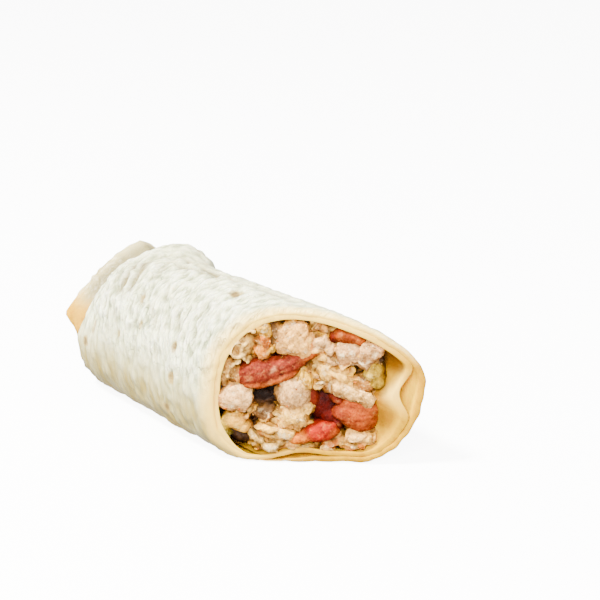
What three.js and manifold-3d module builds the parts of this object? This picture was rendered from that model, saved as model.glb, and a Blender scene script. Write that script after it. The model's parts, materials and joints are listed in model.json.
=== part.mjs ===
// Half of a rolled shawarma wrap, cut on the slant and lying on its side.
// One sheet of flatbread is rolled two turns round a filling of chicken, tomato,
// cucumber and onion. The far end is folded shut and the near end shows the cut.
// Millimetres, +Z up, +X along the roll towards the cut, the table at z = 0.
import * as THREE from "three";
import { mergeVertices } from "three/addons/utils/BufferGeometryUtils.js";
import Module from "manifold-3d";

const wasm = await Module();
wasm.setup();

const DEG = Math.PI / 180;
const TURN = 2 * Math.PI;

// Section of the roll at the cut
const HALF_WIDTH = 29; // across the roll, middle to side
const RISE = 25.6; // from the widest line up to the top
const DROP = 31.6; // from the widest line down, before the table flattens it
const WIDEST_Z = 28.9; // height of the widest line
const MIDDLE_Y = 1; // the roll's middle line
const MIDDLE_Z = 28;
const TOP_ROUNDNESS = 2.05; // superellipse power of the upper half
const BASE_ROUNDNESS = 2.7; // squarer where the roll sags on the table
const TOP_SLOPE = 0.33; // how much lower the roof is on the far side
const TOP_LEAN = 2.7; // how far the upper half leans over
const BASE_BLEND = 1; // height over which the side runs into the flat base
const SEAT = 0.25; // whatever is this close to the table is pressed flat on it

// Length of the roll and the knife's cut
const AXIS_LENGTH = 126; // closed end to the cut, along the middle line
const CUT_SKEW = 40 * DEG; // the knife's angle off square
const TAPER = 0.078; // how much slimmer the closed end is
const ORIGIN = new THREE.Vector3(75.6, 0.8, 0); // middle of the base, from the closed end

// The flatbread and how it is rolled. Places round the roll are measured along its girth
// as an angle: 0 is the far side, about 85 degrees the top and 250 degrees the base.
const SHEET = 2.1;
const LAYER_GAP = 0.35;
const TURNS = 2;
const SEAM = 238 * DEG; // both long edges of the sheet end underneath
const TUCK = 16 * DEG; // stretch over which the sheet slips under its outer edge
const FEATHER = 30 * DEG; // stretch over which a long edge thins out
const FEATHER_THICKNESS = 0.25; // part of the thickness left at the very edge
const OUTER_EDGE_X = 11.5; // the outer turn stops short of the folded end
const EDGE_RUN = 34 * DEG; // stretch over which the sheet's side reaches the end
const BUCKLE_DEPTH = 6; // the inner turn buckles away from the wall on the far side
const BUCKLE_SPREAD = 31 * DEG;
const BUCKLE_LENGTH = 46; // how far in from the cut the buckle fades out
const RIPPLE_LIFT = 1.5; // the inner layers lift off the seam at the cut
const RIPPLE_PLACE = 19 * DEG; // on from the seam
const RIPPLE_SPREAD = 19 * DEG;
const RIPPLE_LENGTH = 22;

// The folded end
const SHOULDER_PRESS = 12; // the near shoulder is pressed flat there
const SHOULDER_PLACE = 120 * DEG;
const SHOULDER_SPREAD = 60 * DEG;
const SHOULDER_LENGTH = 40;
const HEEL_LIFT = 3.5; // the near lower corner turns up
const HEEL_PLACE = 226 * DEG;
const HEEL_SPREAD = 66 * DEG;
const HEEL_LENGTH = 28;
const FOLD_BULGE = 5; // folded-in bread swells the far shoulder
const FOLD_PLACE = 60 * DEG;
const FOLD_SPREAD = 42 * DEG;
const FOLD_RISE = [12, 32]; // where the swelling grows along the roll
const FOLD_FALL = [34, 46]; // and where it steps down again
const FLARE = 2.45; // the inner turn's rim spreads to the outer turn's size
const TUCKED = 2.5; // but is tucked in along the near lower side
const TUCKED_X = 6.5;
const TUCK_RISE = [168 * DEG, 186 * DEG];
const TUCK_FALL = [250 * DEG, 290 * DEG];
const END_ROUND = 2;
const DISH_X = 7; // the sheet is folded in across the end as a pleated dish
const DISH_DEPTH = 4;
const DISH_THICKNESS = 2.4;
const PLEATS = 7;
const PLEAT_DEPTH = 0.8;

// The filling
const FILLING_CLEARANCE = 1.2; // between the packed filling and the bread
const PIECE_CLEARANCE = 0.7; // between a piece at the cut and the bread
const BUCKLE_MARGIN = 1.12; // the filling keeps further off the buckle
const EDGE_MARGIN = 10 * DEG; // and clear of the sheet's inner edge
const FILLING_START = 16;
const FILLING_RECESS = 13; // the packed filling stands back from the cut
const PIECES_BACK = 12.6; // the pieces at the cut end just in front of it
const PIECES_PROUD = 1.4; // and may stand this far out of the cut
const PIECE_GAP = 0.35;
const LUMP_WAVES = 5;

// Facet counts
const SHEET_STEPS_ROUND = 92;
const SHEET_STEPS_LONG = 13;
const ROOM_STEPS_ROUND = 40;
const END_CROWDING = 0.55; // facets crowd towards both ends of the roll
const FILLING_STEPS_LONG = 12;
const DISH_STEPS_ROUND = 36;

const smooth = (x, low, high) => THREE.MathUtils.smoothstep(x, low, high);
const bump = (x) => (Math.abs(x) < 1 ? 0.5 + 0.5 * Math.cos(Math.PI * x) : 0);
const chord = (x) => Math.max(1 - x * x, 0);
const crowd = (t) => THREE.MathUtils.lerp(t, smooth(t, 0, 1), END_CROWDING);
const wrap = (angle) => THREE.MathUtils.euclideanModulo(angle, TURN);
const apart = (a, b) => wrap(a - b + Math.PI) - Math.PI;
const power = (x, exponent) => Math.sign(x) * Math.abs(x) ** exponent;

// Outside of the roll at the cut: an egg-shaped section that sags flat on the table.
class Section extends THREE.Curve {
  getPoint(t, target = new THREE.Vector3()) {
    const up = t < 0.5;
    const exponent = 2 / (up ? TOP_ROUNDNESS : BASE_ROUNDNESS);
    const across = power(Math.cos(TURN * t), exponent);
    const high = power(Math.sin(TURN * t), exponent);
    const y = MIDDLE_Y + HALF_WIDTH * across + TOP_LEAN * high;
    const z = WIDEST_Z + high * (up ? RISE * (1 - TOP_SLOPE * across) : DROP);
    const blended = z < -BASE_BLEND ? 0 : (z + BASE_BLEND) ** 2 / (4 * BASE_BLEND);
    return target.set(0, y, z > BASE_BLEND ? z : blended);
  }
}
const section = new Section();
section.arcLengthDivisions = 720;
const outline = (angle) => section.getPointAt(wrap(angle) / TURN);

const cutX = (y) => AXIS_LENGTH + y * Math.tan(CUT_SKEW);

// A point of the roll at an angle round it, x along it, and a depth in from its outside.
function rollPoint(angle, x, depth) {
  const edge = outline(angle);
  const along = Math.min(x / cutX(edge.y), 1);
  const size = 1 - TAPER * (1 - along);
  const y = (edge.y - MIDDLE_Y) * size;
  const z = (edge.z - MIDDLE_Z) * size;
  const press =
    SHOULDER_PRESS *
    chord(apart(angle, SHOULDER_PLACE) / SHOULDER_SPREAD) *
    (1 - smooth(x, 0, SHOULDER_LENGTH));
  const lift =
    HEEL_LIFT * bump(apart(angle, HEEL_PLACE) / HEEL_SPREAD) * (1 - smooth(x, 0, HEEL_LENGTH));
  const bulge =
    FOLD_BULGE *
    bump(apart(angle, FOLD_PLACE) / FOLD_SPREAD) *
    smooth(x, ...FOLD_RISE) *
    (1 - smooth(x, ...FOLD_FALL));
  const inset = THREE.MathUtils.clamp((END_ROUND - x) / END_ROUND, 0, 1);
  const rounding = END_ROUND * (1 - Math.sqrt(1 - inset * inset));
  const reach = Math.hypot(y, z);
  const kept = Math.max((reach - depth - press - lift + bulge - rounding) / reach, 0);
  const height = MIDDLE_Z * size + z * kept;
  return new THREE.Vector3(x, MIDDLE_Y + y * kept, height < SEAT ? 0 : height);
}

// Thickness of the sheet, a given angle on from its outer edge.
function thicknessAt(wound) {
  const fromEdge = Math.min(wound, TURNS * TURN - wound);
  return SHEET * THREE.MathUtils.lerp(FEATHER_THICKNESS, 1, smooth(fromEdge, 0, FEATHER));
}

// Depth of the sheet's outer face below the outside of the roll.
function depthAt(wound) {
  if (wound < TURN) {
    return (thicknessAt(0) + LAYER_GAP) * smooth(wound, TURN - TUCK, TURN);
  }
  return depthAt(wound - TURN) + thicknessAt(wound - TURN) + LAYER_GAP;
}

// How far the inner layers stand off the wall round them, near the cut.
function standOff(angle, x) {
  const inward = cutX(outline(angle).y) - x;
  const buckle = bump(apart(angle, 0) / BUCKLE_SPREAD) * (1 - smooth(inward, 8, BUCKLE_LENGTH));
  const ripple =
    bump(apart(angle, SEAM + RIPPLE_PLACE) / RIPPLE_SPREAD) * (1 - smooth(inward, 0, RIPPLE_LENGTH));
  return BUCKLE_DEPTH * buckle + RIPPLE_LIFT * ripple;
}

// A closed three.js geometry as a solid that can be joined and cut.
function solidOf(geometry) {
  const bare = geometry.clone();
  bare.deleteAttribute("normal");
  bare.deleteAttribute("uv");
  const merged = mergeVertices(bare, 1e-3);
  return new wasm.Manifold(
    new wasm.Mesh({
      numProp: 3,
      vertProperties: new Float32Array(merged.attributes.position.array),
      triVerts: new Uint32Array(merged.index.array),
    }),
  );
}

function largestBody(solid) {
  return solid.decompose().sort((a, b) => b.volume() - a.volume())[0];
}

function geometryOf(solid) {
  const mesh = solid.getMesh();
  const geometry = new THREE.BufferGeometry();
  geometry.setAttribute("position", new THREE.BufferAttribute(mesh.vertProperties, 3));
  geometry.setIndex(new THREE.BufferAttribute(mesh.triVerts, 1));
  geometry.computeVertexNormals();
  return geometry;
}

// Moves every vertex of a geometry by a function of its own place.
function reshape(geometry, place) {
  const points = geometry.attributes.position;
  const from = new THREE.Vector3();
  for (let i = 0; i < points.count; i++) {
    const to = place(from.fromBufferAttribute(points, i));
    points.setXYZ(i, to.x, to.y, to.z);
  }
  return geometry;
}

// How far the rim is tucked in, from 0 to 1, by place round the roll.
function tuckAt(angle) {
  return smooth(wrap(angle), ...TUCK_RISE) * (1 - smooth(wrap(angle), ...TUCK_FALL));
}

// A point of the sheet, a given angle on from its outer edge and x along the roll.
// Part 0 is its outer face and part 1 its inner face.
function sheetPoint(wound, x, part) {
  const angle = SEAM + wound;
  const isLifted = wound > TURN - (RIPPLE_SPREAD - RIPPLE_PLACE);
  const rim = smooth(wound, TURN - EDGE_RUN, TURN) * (1 - smooth(x, 0, OUTER_EDGE_X));
  const flare = rim * THREE.MathUtils.lerp(FLARE, -TUCKED, tuckAt(angle));
  const lift = isLifted ? standOff(angle, x) : 0;
  return rollPoint(angle, x, depthAt(wound) + part * thicknessAt(wound) + lift - flare);
}

// The flatbread: a flat sheet wound up two turns, with a pleated dish folded in at its end.
function flatbread() {
  const sheet = new THREE.BoxGeometry(1, 1, 1, SHEET_STEPS_ROUND, SHEET_STEPS_LONG, 1);
  reshape(sheet, ({ x, y, z }) => {
    const wound = (x + 0.5) * TURNS * TURN;
    const angle = SEAM + wound;
    const reachesEnd = smooth(wound, TURN - EDGE_RUN, TURN);
    const start = THREE.MathUtils.lerp(OUTER_EDGE_X, TUCKED_X * tuckAt(angle), reachesEnd);
    const end = cutX(sheetPoint(wound, cutX(outline(angle).y), 0.5 - z).y);
    return sheetPoint(wound, THREE.MathUtils.lerp(start, end, crowd(y + 0.5)), 0.5 - z);
  });

  const profile = [
    [0, DISH_DEPTH],
    [0.4, DISH_DEPTH * 0.85],
    [0.75, DISH_DEPTH * 0.4],
    [1, 0],
    [1, DISH_THICKNESS],
    [0.75, DISH_DEPTH * 0.4 + DISH_THICKNESS],
    [0.4, DISH_DEPTH * 0.85 + DISH_THICKNESS],
    [0, DISH_DEPTH + DISH_THICKNESS],
  ].map(([radius, height]) => new THREE.Vector2(radius, height));
  const dish = new THREE.LatheGeometry(profile, DISH_STEPS_ROUND);
  const middle = rollPoint(0, DISH_X, Infinity);
  reshape(dish, ({ x, y, z }) => {
    const angle = Math.atan2(x, z);
    const radius = Math.hypot(x, z);
    const pleat = PLEAT_DEPTH * Math.cos(PLEATS * angle + 3 * radius) * radius * (1 - radius) * 4;
    const edge = sheetPoint(wrap(angle - SEAM) + TURN, DISH_X + y, 0.6);
    return middle.clone().lerp(edge, radius).setX(DISH_X + y + pleat);
  });
  return geometryOf(solidOf(sheet).add(solidOf(dish)));
}

// A stretch of the room inside the roll. Each end is given as a place along the roll
// for a height y of the cut, so that it can follow the folded end or the knife.
function roomInside(startAt, endAt, clearance, stepsLong) {
  const room = new THREE.CylinderGeometry(1, 1, 1, ROOM_STEPS_ROUND, stepsLong);
  return reshape(room, ({ x, y, z }) => {
    const angle = Math.atan2(x, z);
    const inner = (seam) => {
      const wound = wrap(angle - seam) + TURN;
      return depthAt(wound) + thicknessAt(wound);
    };
    const depth = Math.max(inner(SEAM), inner(SEAM + EDGE_MARGIN), inner(SEAM - EDGE_MARGIN));
    const isAxis = Math.hypot(x, z) < 0.5;
    const wall = (at) =>
      isAxis
        ? new THREE.Vector3(at, MIDDLE_Y, MIDDLE_Z)
        : rollPoint(angle, at, depth + clearance + BUCKLE_MARGIN * standOff(angle, at));
    const cut = wall(cutX(outline(angle).y)).y;
    return wall(THREE.MathUtils.lerp(startAt(cut), endAt(cut), crowd(y + 0.5)));
  });
}

// Repeatable uneven lumps over a unit ball, from a few waves in seeded directions.
function lumps(seed) {
  let state = seed;
  const draw = () => {
    state = (state * 16807) % 2147483647;
    return state / 2147483647;
  };
  const waves = Array.from({ length: LUMP_WAVES }, () => ({
    way: new THREE.Vector3(draw() - 0.5, draw() - 0.5, draw() - 0.5).normalize(),
    rate: 2 + 3 * draw(),
    phase: TURN * draw(),
  }));
  return (point) =>
    waves.reduce((sum, { way, rate, phase }) => sum + Math.sin(rate * way.dot(point) + phase), 0) /
    LUMP_WAVES;
}

// Pieces that show at the cut. Each lies on the cut face: across is measured from the
// middle line towards the far side, up from the table, in from the knife's plane.
// Long, high and deep are full sizes, and tilt turns the piece in the cut face, in degrees.
const PIECES = [
  { name: "chicken_column", across: -7, up: 21.6, in: 3, long: 23, high: 13, deep: 20, tilt: 78 },
  { name: "chicken_long", across: 12.4, up: 27.4, in: 3, long: 26, high: 11.5, deep: 19, tilt: -36 },
  { name: "tomato_wedge", across: -13, up: 32.6, in: 3.5, long: 32, high: 11.5, deep: 19, tilt: 19 },
  { name: "chicken_dome", across: -6.8, up: 43.6, in: 4.5, long: 15, high: 13.5, deep: 19, tilt: 15 },
  { name: "chicken_shoulder", across: 15.4, up: 38.8, in: 3.5, long: 19.5, high: 12, deep: 18, tilt: -6 },
  { name: "chicken_corner", across: -25, up: 22, in: 3, long: 15.5, high: 11.5, deep: 17, tilt: -12 },
  { name: "tomato_slice_right", across: 14.8, up: 16.8, in: 4.5, long: 17, high: 15, deep: 16, tilt: -28 },
  { name: "tomato_slice_base", across: 0.8, up: 10.2, in: 2.5, long: 18.5, high: 10, deep: 17, tilt: 12 },
  { name: "chicken_curl", across: -14.6, up: 9.8, in: 3, long: 16.5, high: 10.5, deep: 16, tilt: -14 },
  { name: "cucumber_slice", across: 19.4, up: 31.6, in: 4.2, long: 12, high: 11.5, deep: 16, tilt: 60 },
  { name: "tomato_deep", across: 3.6, up: 19.4, in: 7.5, long: 13.5, high: 14, deep: 13, tilt: 30 },
  { name: "chicken_knuckle", across: 3.2, up: 42, in: 4, long: 11, high: 10, deep: 16, tilt: 20 },
  { name: "chicken_crumb", across: 7, up: 35.6, in: 4, long: 13, high: 9.5, deep: 16, tilt: 0 },
  { name: "chicken_spiced", across: -16.8, up: 42.6, in: 3.5, long: 14, high: 9, deep: 17, tilt: 84 },
  { name: "tomato_slice_top", across: 11, up: 46, in: 3.5, long: 13.5, high: 8, deep: 16, tilt: -22 },
  { name: "cucumber_rind", across: -26.4, up: 13, in: 3.5, long: 12, high: 9.5, deep: 15, tilt: -24 },
  { name: "onion_upper", across: -24.6, up: 40.4, in: 4, long: 13, high: 11, deep: 15, tilt: 55 },
  { name: "onion_lower", across: -27.4, up: 31.2, in: 5, long: 12, high: 11, deep: 15, tilt: 20 },
  { name: "chicken_shade", across: -16.4, up: 18.6, in: 7.5, long: 12, high: 11, deep: 13, tilt: -30 },
  { name: "chicken_cream", across: 15, up: 8, in: 3.5, long: 11.5, high: 8, deep: 15, tilt: 0 },
];

const FOODS = {
  chicken: { color: 0xd8c3ab, roughness: 0.6, lump: 0.2, point: 1 },
  tomato: { color: 0xb8402c, roughness: 0.35, lump: 0.06, point: 1.6 },
  cucumber: { color: 0xc3bd7c, roughness: 0.4, lump: 0.08, point: 1 },
  onion: { color: 0xd6cdb4, roughness: 0.4, lump: 0.12, point: 1 },
};
const LARGE_PIECE = 15;

// One piece of filling in the cut face's own frame, grown all round by a margin.
function pieceGeometry(piece, food, seed, margin) {
  const ball = new THREE.IcosahedronGeometry(1, piece.long < LARGE_PIECE ? 1 : 2);
  const lump = lumps(seed);
  reshape(ball, (point) => {
    const swell = 1 + food.lump * lump(point);
    const slim = chord(point.x) ** (0.5 * (food.point - 1));
    return new THREE.Vector3(
      point.x * (swell * piece.long * 0.5 + margin),
      point.y * (swell * piece.deep * 0.5 + margin),
      point.z * (swell * piece.high * 0.5 * slim + margin),
    );
  });
  ball.rotateY(-piece.tilt * DEG);
  return ball.translate(piece.across, piece.in, piece.up);
}

const roll = new THREE.Group();
roll.position.copy(ORIGIN).negate();

const cutFace = new THREE.Group();
cutFace.position.set(AXIS_LENGTH, 0, 0);
cutFace.rotation.z = Math.PI / 2 - CUT_SKEW;
cutFace.updateMatrix();
roll.add(cutFace);

function addPart(group, name, geometry, color, roughness) {
  const material = new THREE.MeshStandardMaterial({ color, roughness, metalness: 0 });
  const mesh = new THREE.Mesh(geometry, material);
  mesh.name = name;
  group.add(mesh);
}

addPart(roll, "flatbread", flatbread(), 0xe9e2cf, 0.7);

// The packed filling runs from the folded end to just behind the pieces at the cut.
const packedFilling = roomInside(
  () => FILLING_START,
  (y) => cutX(y) - FILLING_RECESS,
  FILLING_CLEARANCE,
  FILLING_STEPS_LONG,
);
addPart(roll, "packed_filling", geometryOf(solidOf(packedFilling)), 0xb79c7e, 0.7);

// Each piece keeps clear of the bread and of the pieces placed before it.
const opening = roomInside(
  (y) => cutX(y) - PIECES_BACK,
  (y) => cutX(y) + PIECES_PROUD,
  PIECE_CLEARANCE,
  2,
);
const openingSolid = solidOf(opening.applyMatrix4(cutFace.matrix.clone().invert()));
const placed = [];
PIECES.forEach((piece, index) => {
  const food = FOODS[piece.name.split("_")[0]];
  const seed = 101 + 17 * index;
  let body = solidOf(pieceGeometry(piece, food, seed, 0)).intersect(openingSolid);
  for (const neighbour of placed) body = body.subtract(neighbour);
  addPart(cutFace, piece.name, geometryOf(largestBody(body)), food.color, food.roughness);
  placed.push(solidOf(pieceGeometry(piece, food, seed, PIECE_GAP)));
});

const shawarmaWrap = new THREE.Group();
shawarmaWrap.add(roll);

export default shawarmaWrap;
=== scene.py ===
import json
import math
import random

import bmesh
import bpy
import numpy as np
from mathutils import Matrix, Vector, noise

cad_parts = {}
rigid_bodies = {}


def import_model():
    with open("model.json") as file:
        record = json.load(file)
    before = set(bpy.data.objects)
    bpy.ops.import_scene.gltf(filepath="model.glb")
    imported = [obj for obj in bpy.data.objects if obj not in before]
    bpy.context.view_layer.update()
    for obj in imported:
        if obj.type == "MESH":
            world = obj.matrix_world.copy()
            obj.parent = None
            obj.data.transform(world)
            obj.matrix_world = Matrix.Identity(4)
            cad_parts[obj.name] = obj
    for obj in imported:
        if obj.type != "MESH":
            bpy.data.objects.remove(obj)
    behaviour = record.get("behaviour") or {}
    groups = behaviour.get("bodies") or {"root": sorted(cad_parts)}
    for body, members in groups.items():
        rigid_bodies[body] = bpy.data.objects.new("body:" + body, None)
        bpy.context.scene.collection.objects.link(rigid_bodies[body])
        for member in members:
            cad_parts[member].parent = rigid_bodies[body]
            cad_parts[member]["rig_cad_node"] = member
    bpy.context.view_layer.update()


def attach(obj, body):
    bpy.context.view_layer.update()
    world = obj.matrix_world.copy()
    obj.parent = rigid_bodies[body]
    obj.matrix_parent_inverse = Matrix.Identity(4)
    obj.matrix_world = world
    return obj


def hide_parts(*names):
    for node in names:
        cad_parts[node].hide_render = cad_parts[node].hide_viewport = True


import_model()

# The same noise in every run
noise.seed_set(3)

# Studio
# A pale seamless floor under a large soft key light from the upper left, with a weaker
# fill on the right, seen through a long lens from a little above the floor.
MM = 0.001
FLOOR_SIZE = 12.0
FLOOR_COLOUR = (0.90, 0.90, 0.90, 1)
FLOOR_ROUGHNESS = 0.9
FLOOR_GLOW_COLOUR = (1, 1, 1, 1)
FLOOR_GLOW = 8.0
SKY_COLOUR = (1.0, 0.99, 0.97, 1)
SKY_STRENGTH = 1.2
# Place, aim, width of the disc, power and tint of each light
LIGHTS = {
    "key": ((-0.15, -0.62, 1.15), (0, 0, 0.03), 0.28, 78, (1.0, 0.985, 0.96)),
    "fill": ((0.72, -0.72, 0.62), (0.05, 0, 0.03), 0.6, 46, (1.0, 0.97, 0.93)),
}
EYE = (0.5255, -0.3633, 0.2527)
AIM = (0.0084, 0.0251, 0.0426)
LENS = 113.84
SENSOR = 36


def mesh_of(name, bm):
    mesh = bpy.data.meshes.new(name)
    bm.to_mesh(mesh)
    bm.free()
    return mesh


def add_object(name, data):
    holder = bpy.data.objects.new(name, data)
    bpy.context.scene.collection.objects.link(holder)
    return holder


def new_material(name):
    material = bpy.data.materials.new(name)
    material.use_nodes = True
    return material, material.node_tree, material.node_tree.nodes["Principled BSDF"]


def feed(node, inputs):
    """Sets a node's inputs, or links them to another node's output."""
    for label, value in inputs.items():
        if hasattr(value, "is_output"):
            node.id_data.links.new(value, node.inputs[label])
        else:
            node.inputs[label].default_value = value


def turned_to(aim, place):
    return (Vector(aim) - Vector(place)).to_track_quat("-Z", "Y").to_euler()


bm = bmesh.new()
bmesh.ops.create_grid(bm, x_segments=1, y_segments=1, size=FLOOR_SIZE / 2)
floor = add_object("floor", mesh_of("floor", bm))
floor_paint, tree, shader = new_material("floor")
feed(shader, {
    "Base Color": FLOOR_COLOUR,
    "Roughness": FLOOR_ROUGHNESS,
    "Emission Color": FLOOR_GLOW_COLOUR,
    "Emission Strength": FLOOR_GLOW,
})
floor.visible_diffuse = False
floor.visible_glossy = False
floor.data.materials.append(floor_paint)

world = bpy.data.worlds.new("studio")
world.use_nodes = True
feed(world.node_tree.nodes["Background"], {"Color": SKY_COLOUR, "Strength": SKY_STRENGTH})
bpy.context.scene.world = world

for name, (place, aim, width, power, tint) in LIGHTS.items():
    lamp = bpy.data.lights.new(name, "AREA")
    lamp.shape = "DISK"
    lamp.size = width
    lamp.energy = power
    lamp.color = tint
    holder = add_object(name, lamp)
    holder.location = place
    holder.rotation_euler = turned_to(aim, place)

camera = add_object("camera", bpy.data.cameras.new("camera"))
camera.data.lens = LENS
camera.data.sensor_width = SENSOR
camera.location = EYE
camera.rotation_euler = turned_to(AIM, EYE)
bpy.context.scene.camera = camera

# Flatbread
# One thin soft wheat flatbread, floury white outside with toasted freckles, rolled two
# turns round the filling. The far end is folded shut and a knife has cut the near end.

# Lengths are in millimetres and angles round the roll in degrees
HALF_WIDTH = 29.0
RISE = 25.6
DROP = 31.6
WIDEST_Z = 28.9
MIDDLE_Y = 1.0
MIDDLE_Z = 28.0
TOP_ROUNDNESS = 2.05
BASE_ROUNDNESS = 2.7
TOP_SLOPE = 0.33
TOP_LEAN = 2.7
BASE_BLEND = 1.0
AXIS_LENGTH = 126.0
CUT_SKEW = math.radians(40)
TAPER = 0.078
ORIGIN = np.array([75.6, 0.8, 0.0])
SHEET = 2.35
INNER_THIN = 0.72
LAYER_GAP = -0.12
SEAM = 238.0
TUCK = 16.0
FEATHER = 30.0
FEATHER_THICKNESS = 0.15
OUTER_EDGE_X = 13.4
EDGE_RUN = 34.0
BUCKLE_DEPTH = 5.2
BUCKLE_PLACE = -5.0
BUCKLE_SPREAD = 23.0
BUCKLE_LENGTH = 15.0
BUCKLE_EDGE = 4.0
BUCKLE_FULLNESS = 0.75
FUNNEL_DEPTH = 8.5
FUNNEL_PLACE = -20.0
FUNNEL_SPREAD = 44.0
FUNNEL_LENGTH = 13.0
FUNNEL_END = 46.0
RIPPLE_LIFT = 1.5
RIPPLE_PLACE = 19.0
RIPPLE_SPREAD = 19.0
RIPPLE_LENGTH = 22.0
FLARE = 3.5
TUCKED = 2.5
TUCKED_X = 6.5
END_ROUND = 2.0
TURN = 360.0
SHOULDER_PLACE = 120
SHOULDER_SPREAD = 60
SHOULDER_LENGTH = 40
SHOULDER_DEPTH = 12
HEEL_PLACE = 226
HEEL_SPREAD = 66
HEEL_LENGTH = 28
HEEL_DEPTH = 3.5
FOLD_PLACE = 60
FOLD_SPREAD = 42
FOLD_RISES = (12, 32)
FOLD_FALLS = (34, 46)
FOLD_LIFT = 5
TUCK_STARTS = (168, 186)
TUCK_ENDS = (250, 290)


def smooth(x, low, high):
    t = np.clip((x - low) / (high - low), 0, 1)
    return t * t * (3 - 2 * t)


def bump(x):
    return np.where(np.abs(x) < 1, 0.5 + 0.5 * np.cos(np.pi * x), 0)


def apart(a, b):
    return (a - b + TURN / 2) % TURN - TURN / 2


def lerp(a, b, t):
    return a + (b - a) * t


# Outside of the roll at the cut, walked once round its girth
walk = np.linspace(0, 2 * np.pi, 1441)
is_upper = walk < np.pi
squareness = 2 / np.where(is_upper, TOP_ROUNDNESS, BASE_ROUNDNESS)
walk_across = np.sign(np.cos(walk)) * np.abs(np.cos(walk)) ** squareness
walk_high = np.sign(np.sin(walk)) * np.abs(np.sin(walk)) ** squareness
walk_y = MIDDLE_Y + HALF_WIDTH * walk_across + TOP_LEAN * walk_high
walk_z = WIDEST_Z + walk_high * np.where(is_upper, RISE * (1 - TOP_SLOPE * walk_across), DROP)
blended_z = np.maximum(walk_z + BASE_BLEND, 0) ** 2 / (4 * BASE_BLEND)
walk_z = np.where(walk_z > BASE_BLEND, walk_z, blended_z)
walked = np.concatenate([[0], np.cumsum(np.hypot(np.diff(walk_y), np.diff(walk_z)))])
GIRTH = walked[-1]
walk_angle = walked / GIRTH * TURN


def outline(angle):
    place = angle % TURN
    return np.interp(place, walk_angle, walk_y), np.interp(place, walk_angle, walk_z)


def cut_x(y):
    return AXIS_LENGTH + y * math.tan(CUT_SKEW)


def roll_point(angle, x, depth):
    """A point so deep under the outside of the roll, x along it and angle round it."""
    edge_y, edge_z = outline(angle)
    along = np.minimum(x / cut_x(edge_y), 1)
    size = 1 - TAPER * (1 - along)
    y = (edge_y - MIDDLE_Y) * size
    z = (edge_z - MIDDLE_Z) * size
    shoulder = np.maximum(1 - (apart(angle, SHOULDER_PLACE) / SHOULDER_SPREAD) ** 2, 0)
    shoulder = shoulder * (1 - smooth(x, 0, SHOULDER_LENGTH))
    heel = bump(apart(angle, HEEL_PLACE) / HEEL_SPREAD) * (1 - smooth(x, 0, HEEL_LENGTH))
    fold = bump(apart(angle, FOLD_PLACE) / FOLD_SPREAD)
    fold = fold * smooth(x, *FOLD_RISES) * (1 - smooth(x, *FOLD_FALLS))
    inset = np.clip((END_ROUND - x) / END_ROUND, 0, 1)
    rounding = END_ROUND * (1 - np.sqrt(1 - inset**2))
    reach = np.hypot(y, z)
    kept = reach - depth - SHOULDER_DEPTH * shoulder - HEEL_DEPTH * heel + FOLD_LIFT * fold - rounding
    kept = np.maximum(kept / reach, 0)
    height = MIDDLE_Z * size + z * kept
    return np.stack([x, MIDDLE_Y + y * kept, np.maximum(height, 0)], -1)


def thickness_at(wound):
    """Thickness of the sheet, wound so many degrees from its outer edge."""
    from_edge = np.minimum(wound, 2 * TURN - wound)
    thinned = lerp(1, INNER_THIN, smooth(wound, TURN - 60, TURN + 30))
    return SHEET * thinned * lerp(FEATHER_THICKNESS, 1, smooth(from_edge, 0, FEATHER))


def depth_at(wound):
    """Depth of the sheet's outer face, one turn lying under the other."""
    into_turn = np.where(wound < TURN, wound, wound - TURN)
    slip = (thickness_at(np.zeros(1)) + LAYER_GAP) * smooth(into_turn, TURN - TUCK, TURN)
    under = slip + thickness_at(wound - TURN) + LAYER_GAP
    return np.where(wound < TURN, slip, under)


def stand_off(angle, x):
    """How far the wall at the cut buckles, opens and ripples inwards."""
    inward = cut_x(outline(angle)[0]) - x
    buckle = bump(apart(angle, BUCKLE_PLACE) / BUCKLE_SPREAD) ** BUCKLE_FULLNESS
    buckle = buckle * (1 - smooth(inward, BUCKLE_EDGE, BUCKLE_LENGTH))
    funnel = bump(apart(angle, FUNNEL_PLACE) / FUNNEL_SPREAD) * smooth(inward, 0, FUNNEL_LENGTH)
    funnel = funnel * (1 - smooth(inward, FUNNEL_LENGTH, FUNNEL_END))
    ripple_place = apart(angle, SEAM + RIPPLE_PLACE) / RIPPLE_SPREAD
    ripple = bump(ripple_place) * (1 - smooth(inward, 0, RIPPLE_LENGTH))
    return np.maximum(BUCKLE_DEPTH * buckle, FUNNEL_DEPTH * funnel) + RIPPLE_LIFT * ripple


def tuck_at(angle):
    """Where the folded end is tucked in rather than spread as a flap."""
    place = angle % TURN
    return smooth(place, *TUCK_STARTS) * (1 - smooth(place, *TUCK_ENDS))


def sheet_point(wound, x, part, relief):
    """A point of the sheet, from its outer face, part 0, to its inner, part 1."""
    angle = SEAM + wound
    rim = smooth(wound, TURN - EDGE_RUN, TURN) * (1 - smooth(x, 0, OUTER_EDGE_X))
    flare = rim * lerp(FLARE, -TUCKED, tuck_at(angle))
    lift = np.where(wound > TURN - (RIPPLE_SPREAD - RIPPLE_PLACE), stand_off(angle, x), 0)
    depth = depth_at(wound) + part * thickness_at(wound) + lift - flare - relief
    return roll_point(angle, x, depth)


# Rows that run round the sheet: out along its outer face, round the cut edge,
# back along its inner face and round the folded edge.
WOUND_STEPS = 310
OUTER_ROWS = 196
CUT_ROWS = 10
INNER_ROWS = 40
END_ROWS = 8
CUT_ROUND_OUTER = 2.6
CUT_ROUND_LAYERS = 0.35
CUT_ROUND_INSIDE = 0.3
END_ROUND_EDGE = 0.9
OUTER_SHARE = 0.68
ROW_EASE = 0.4
OUTER_CROWDING = 0.32


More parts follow.
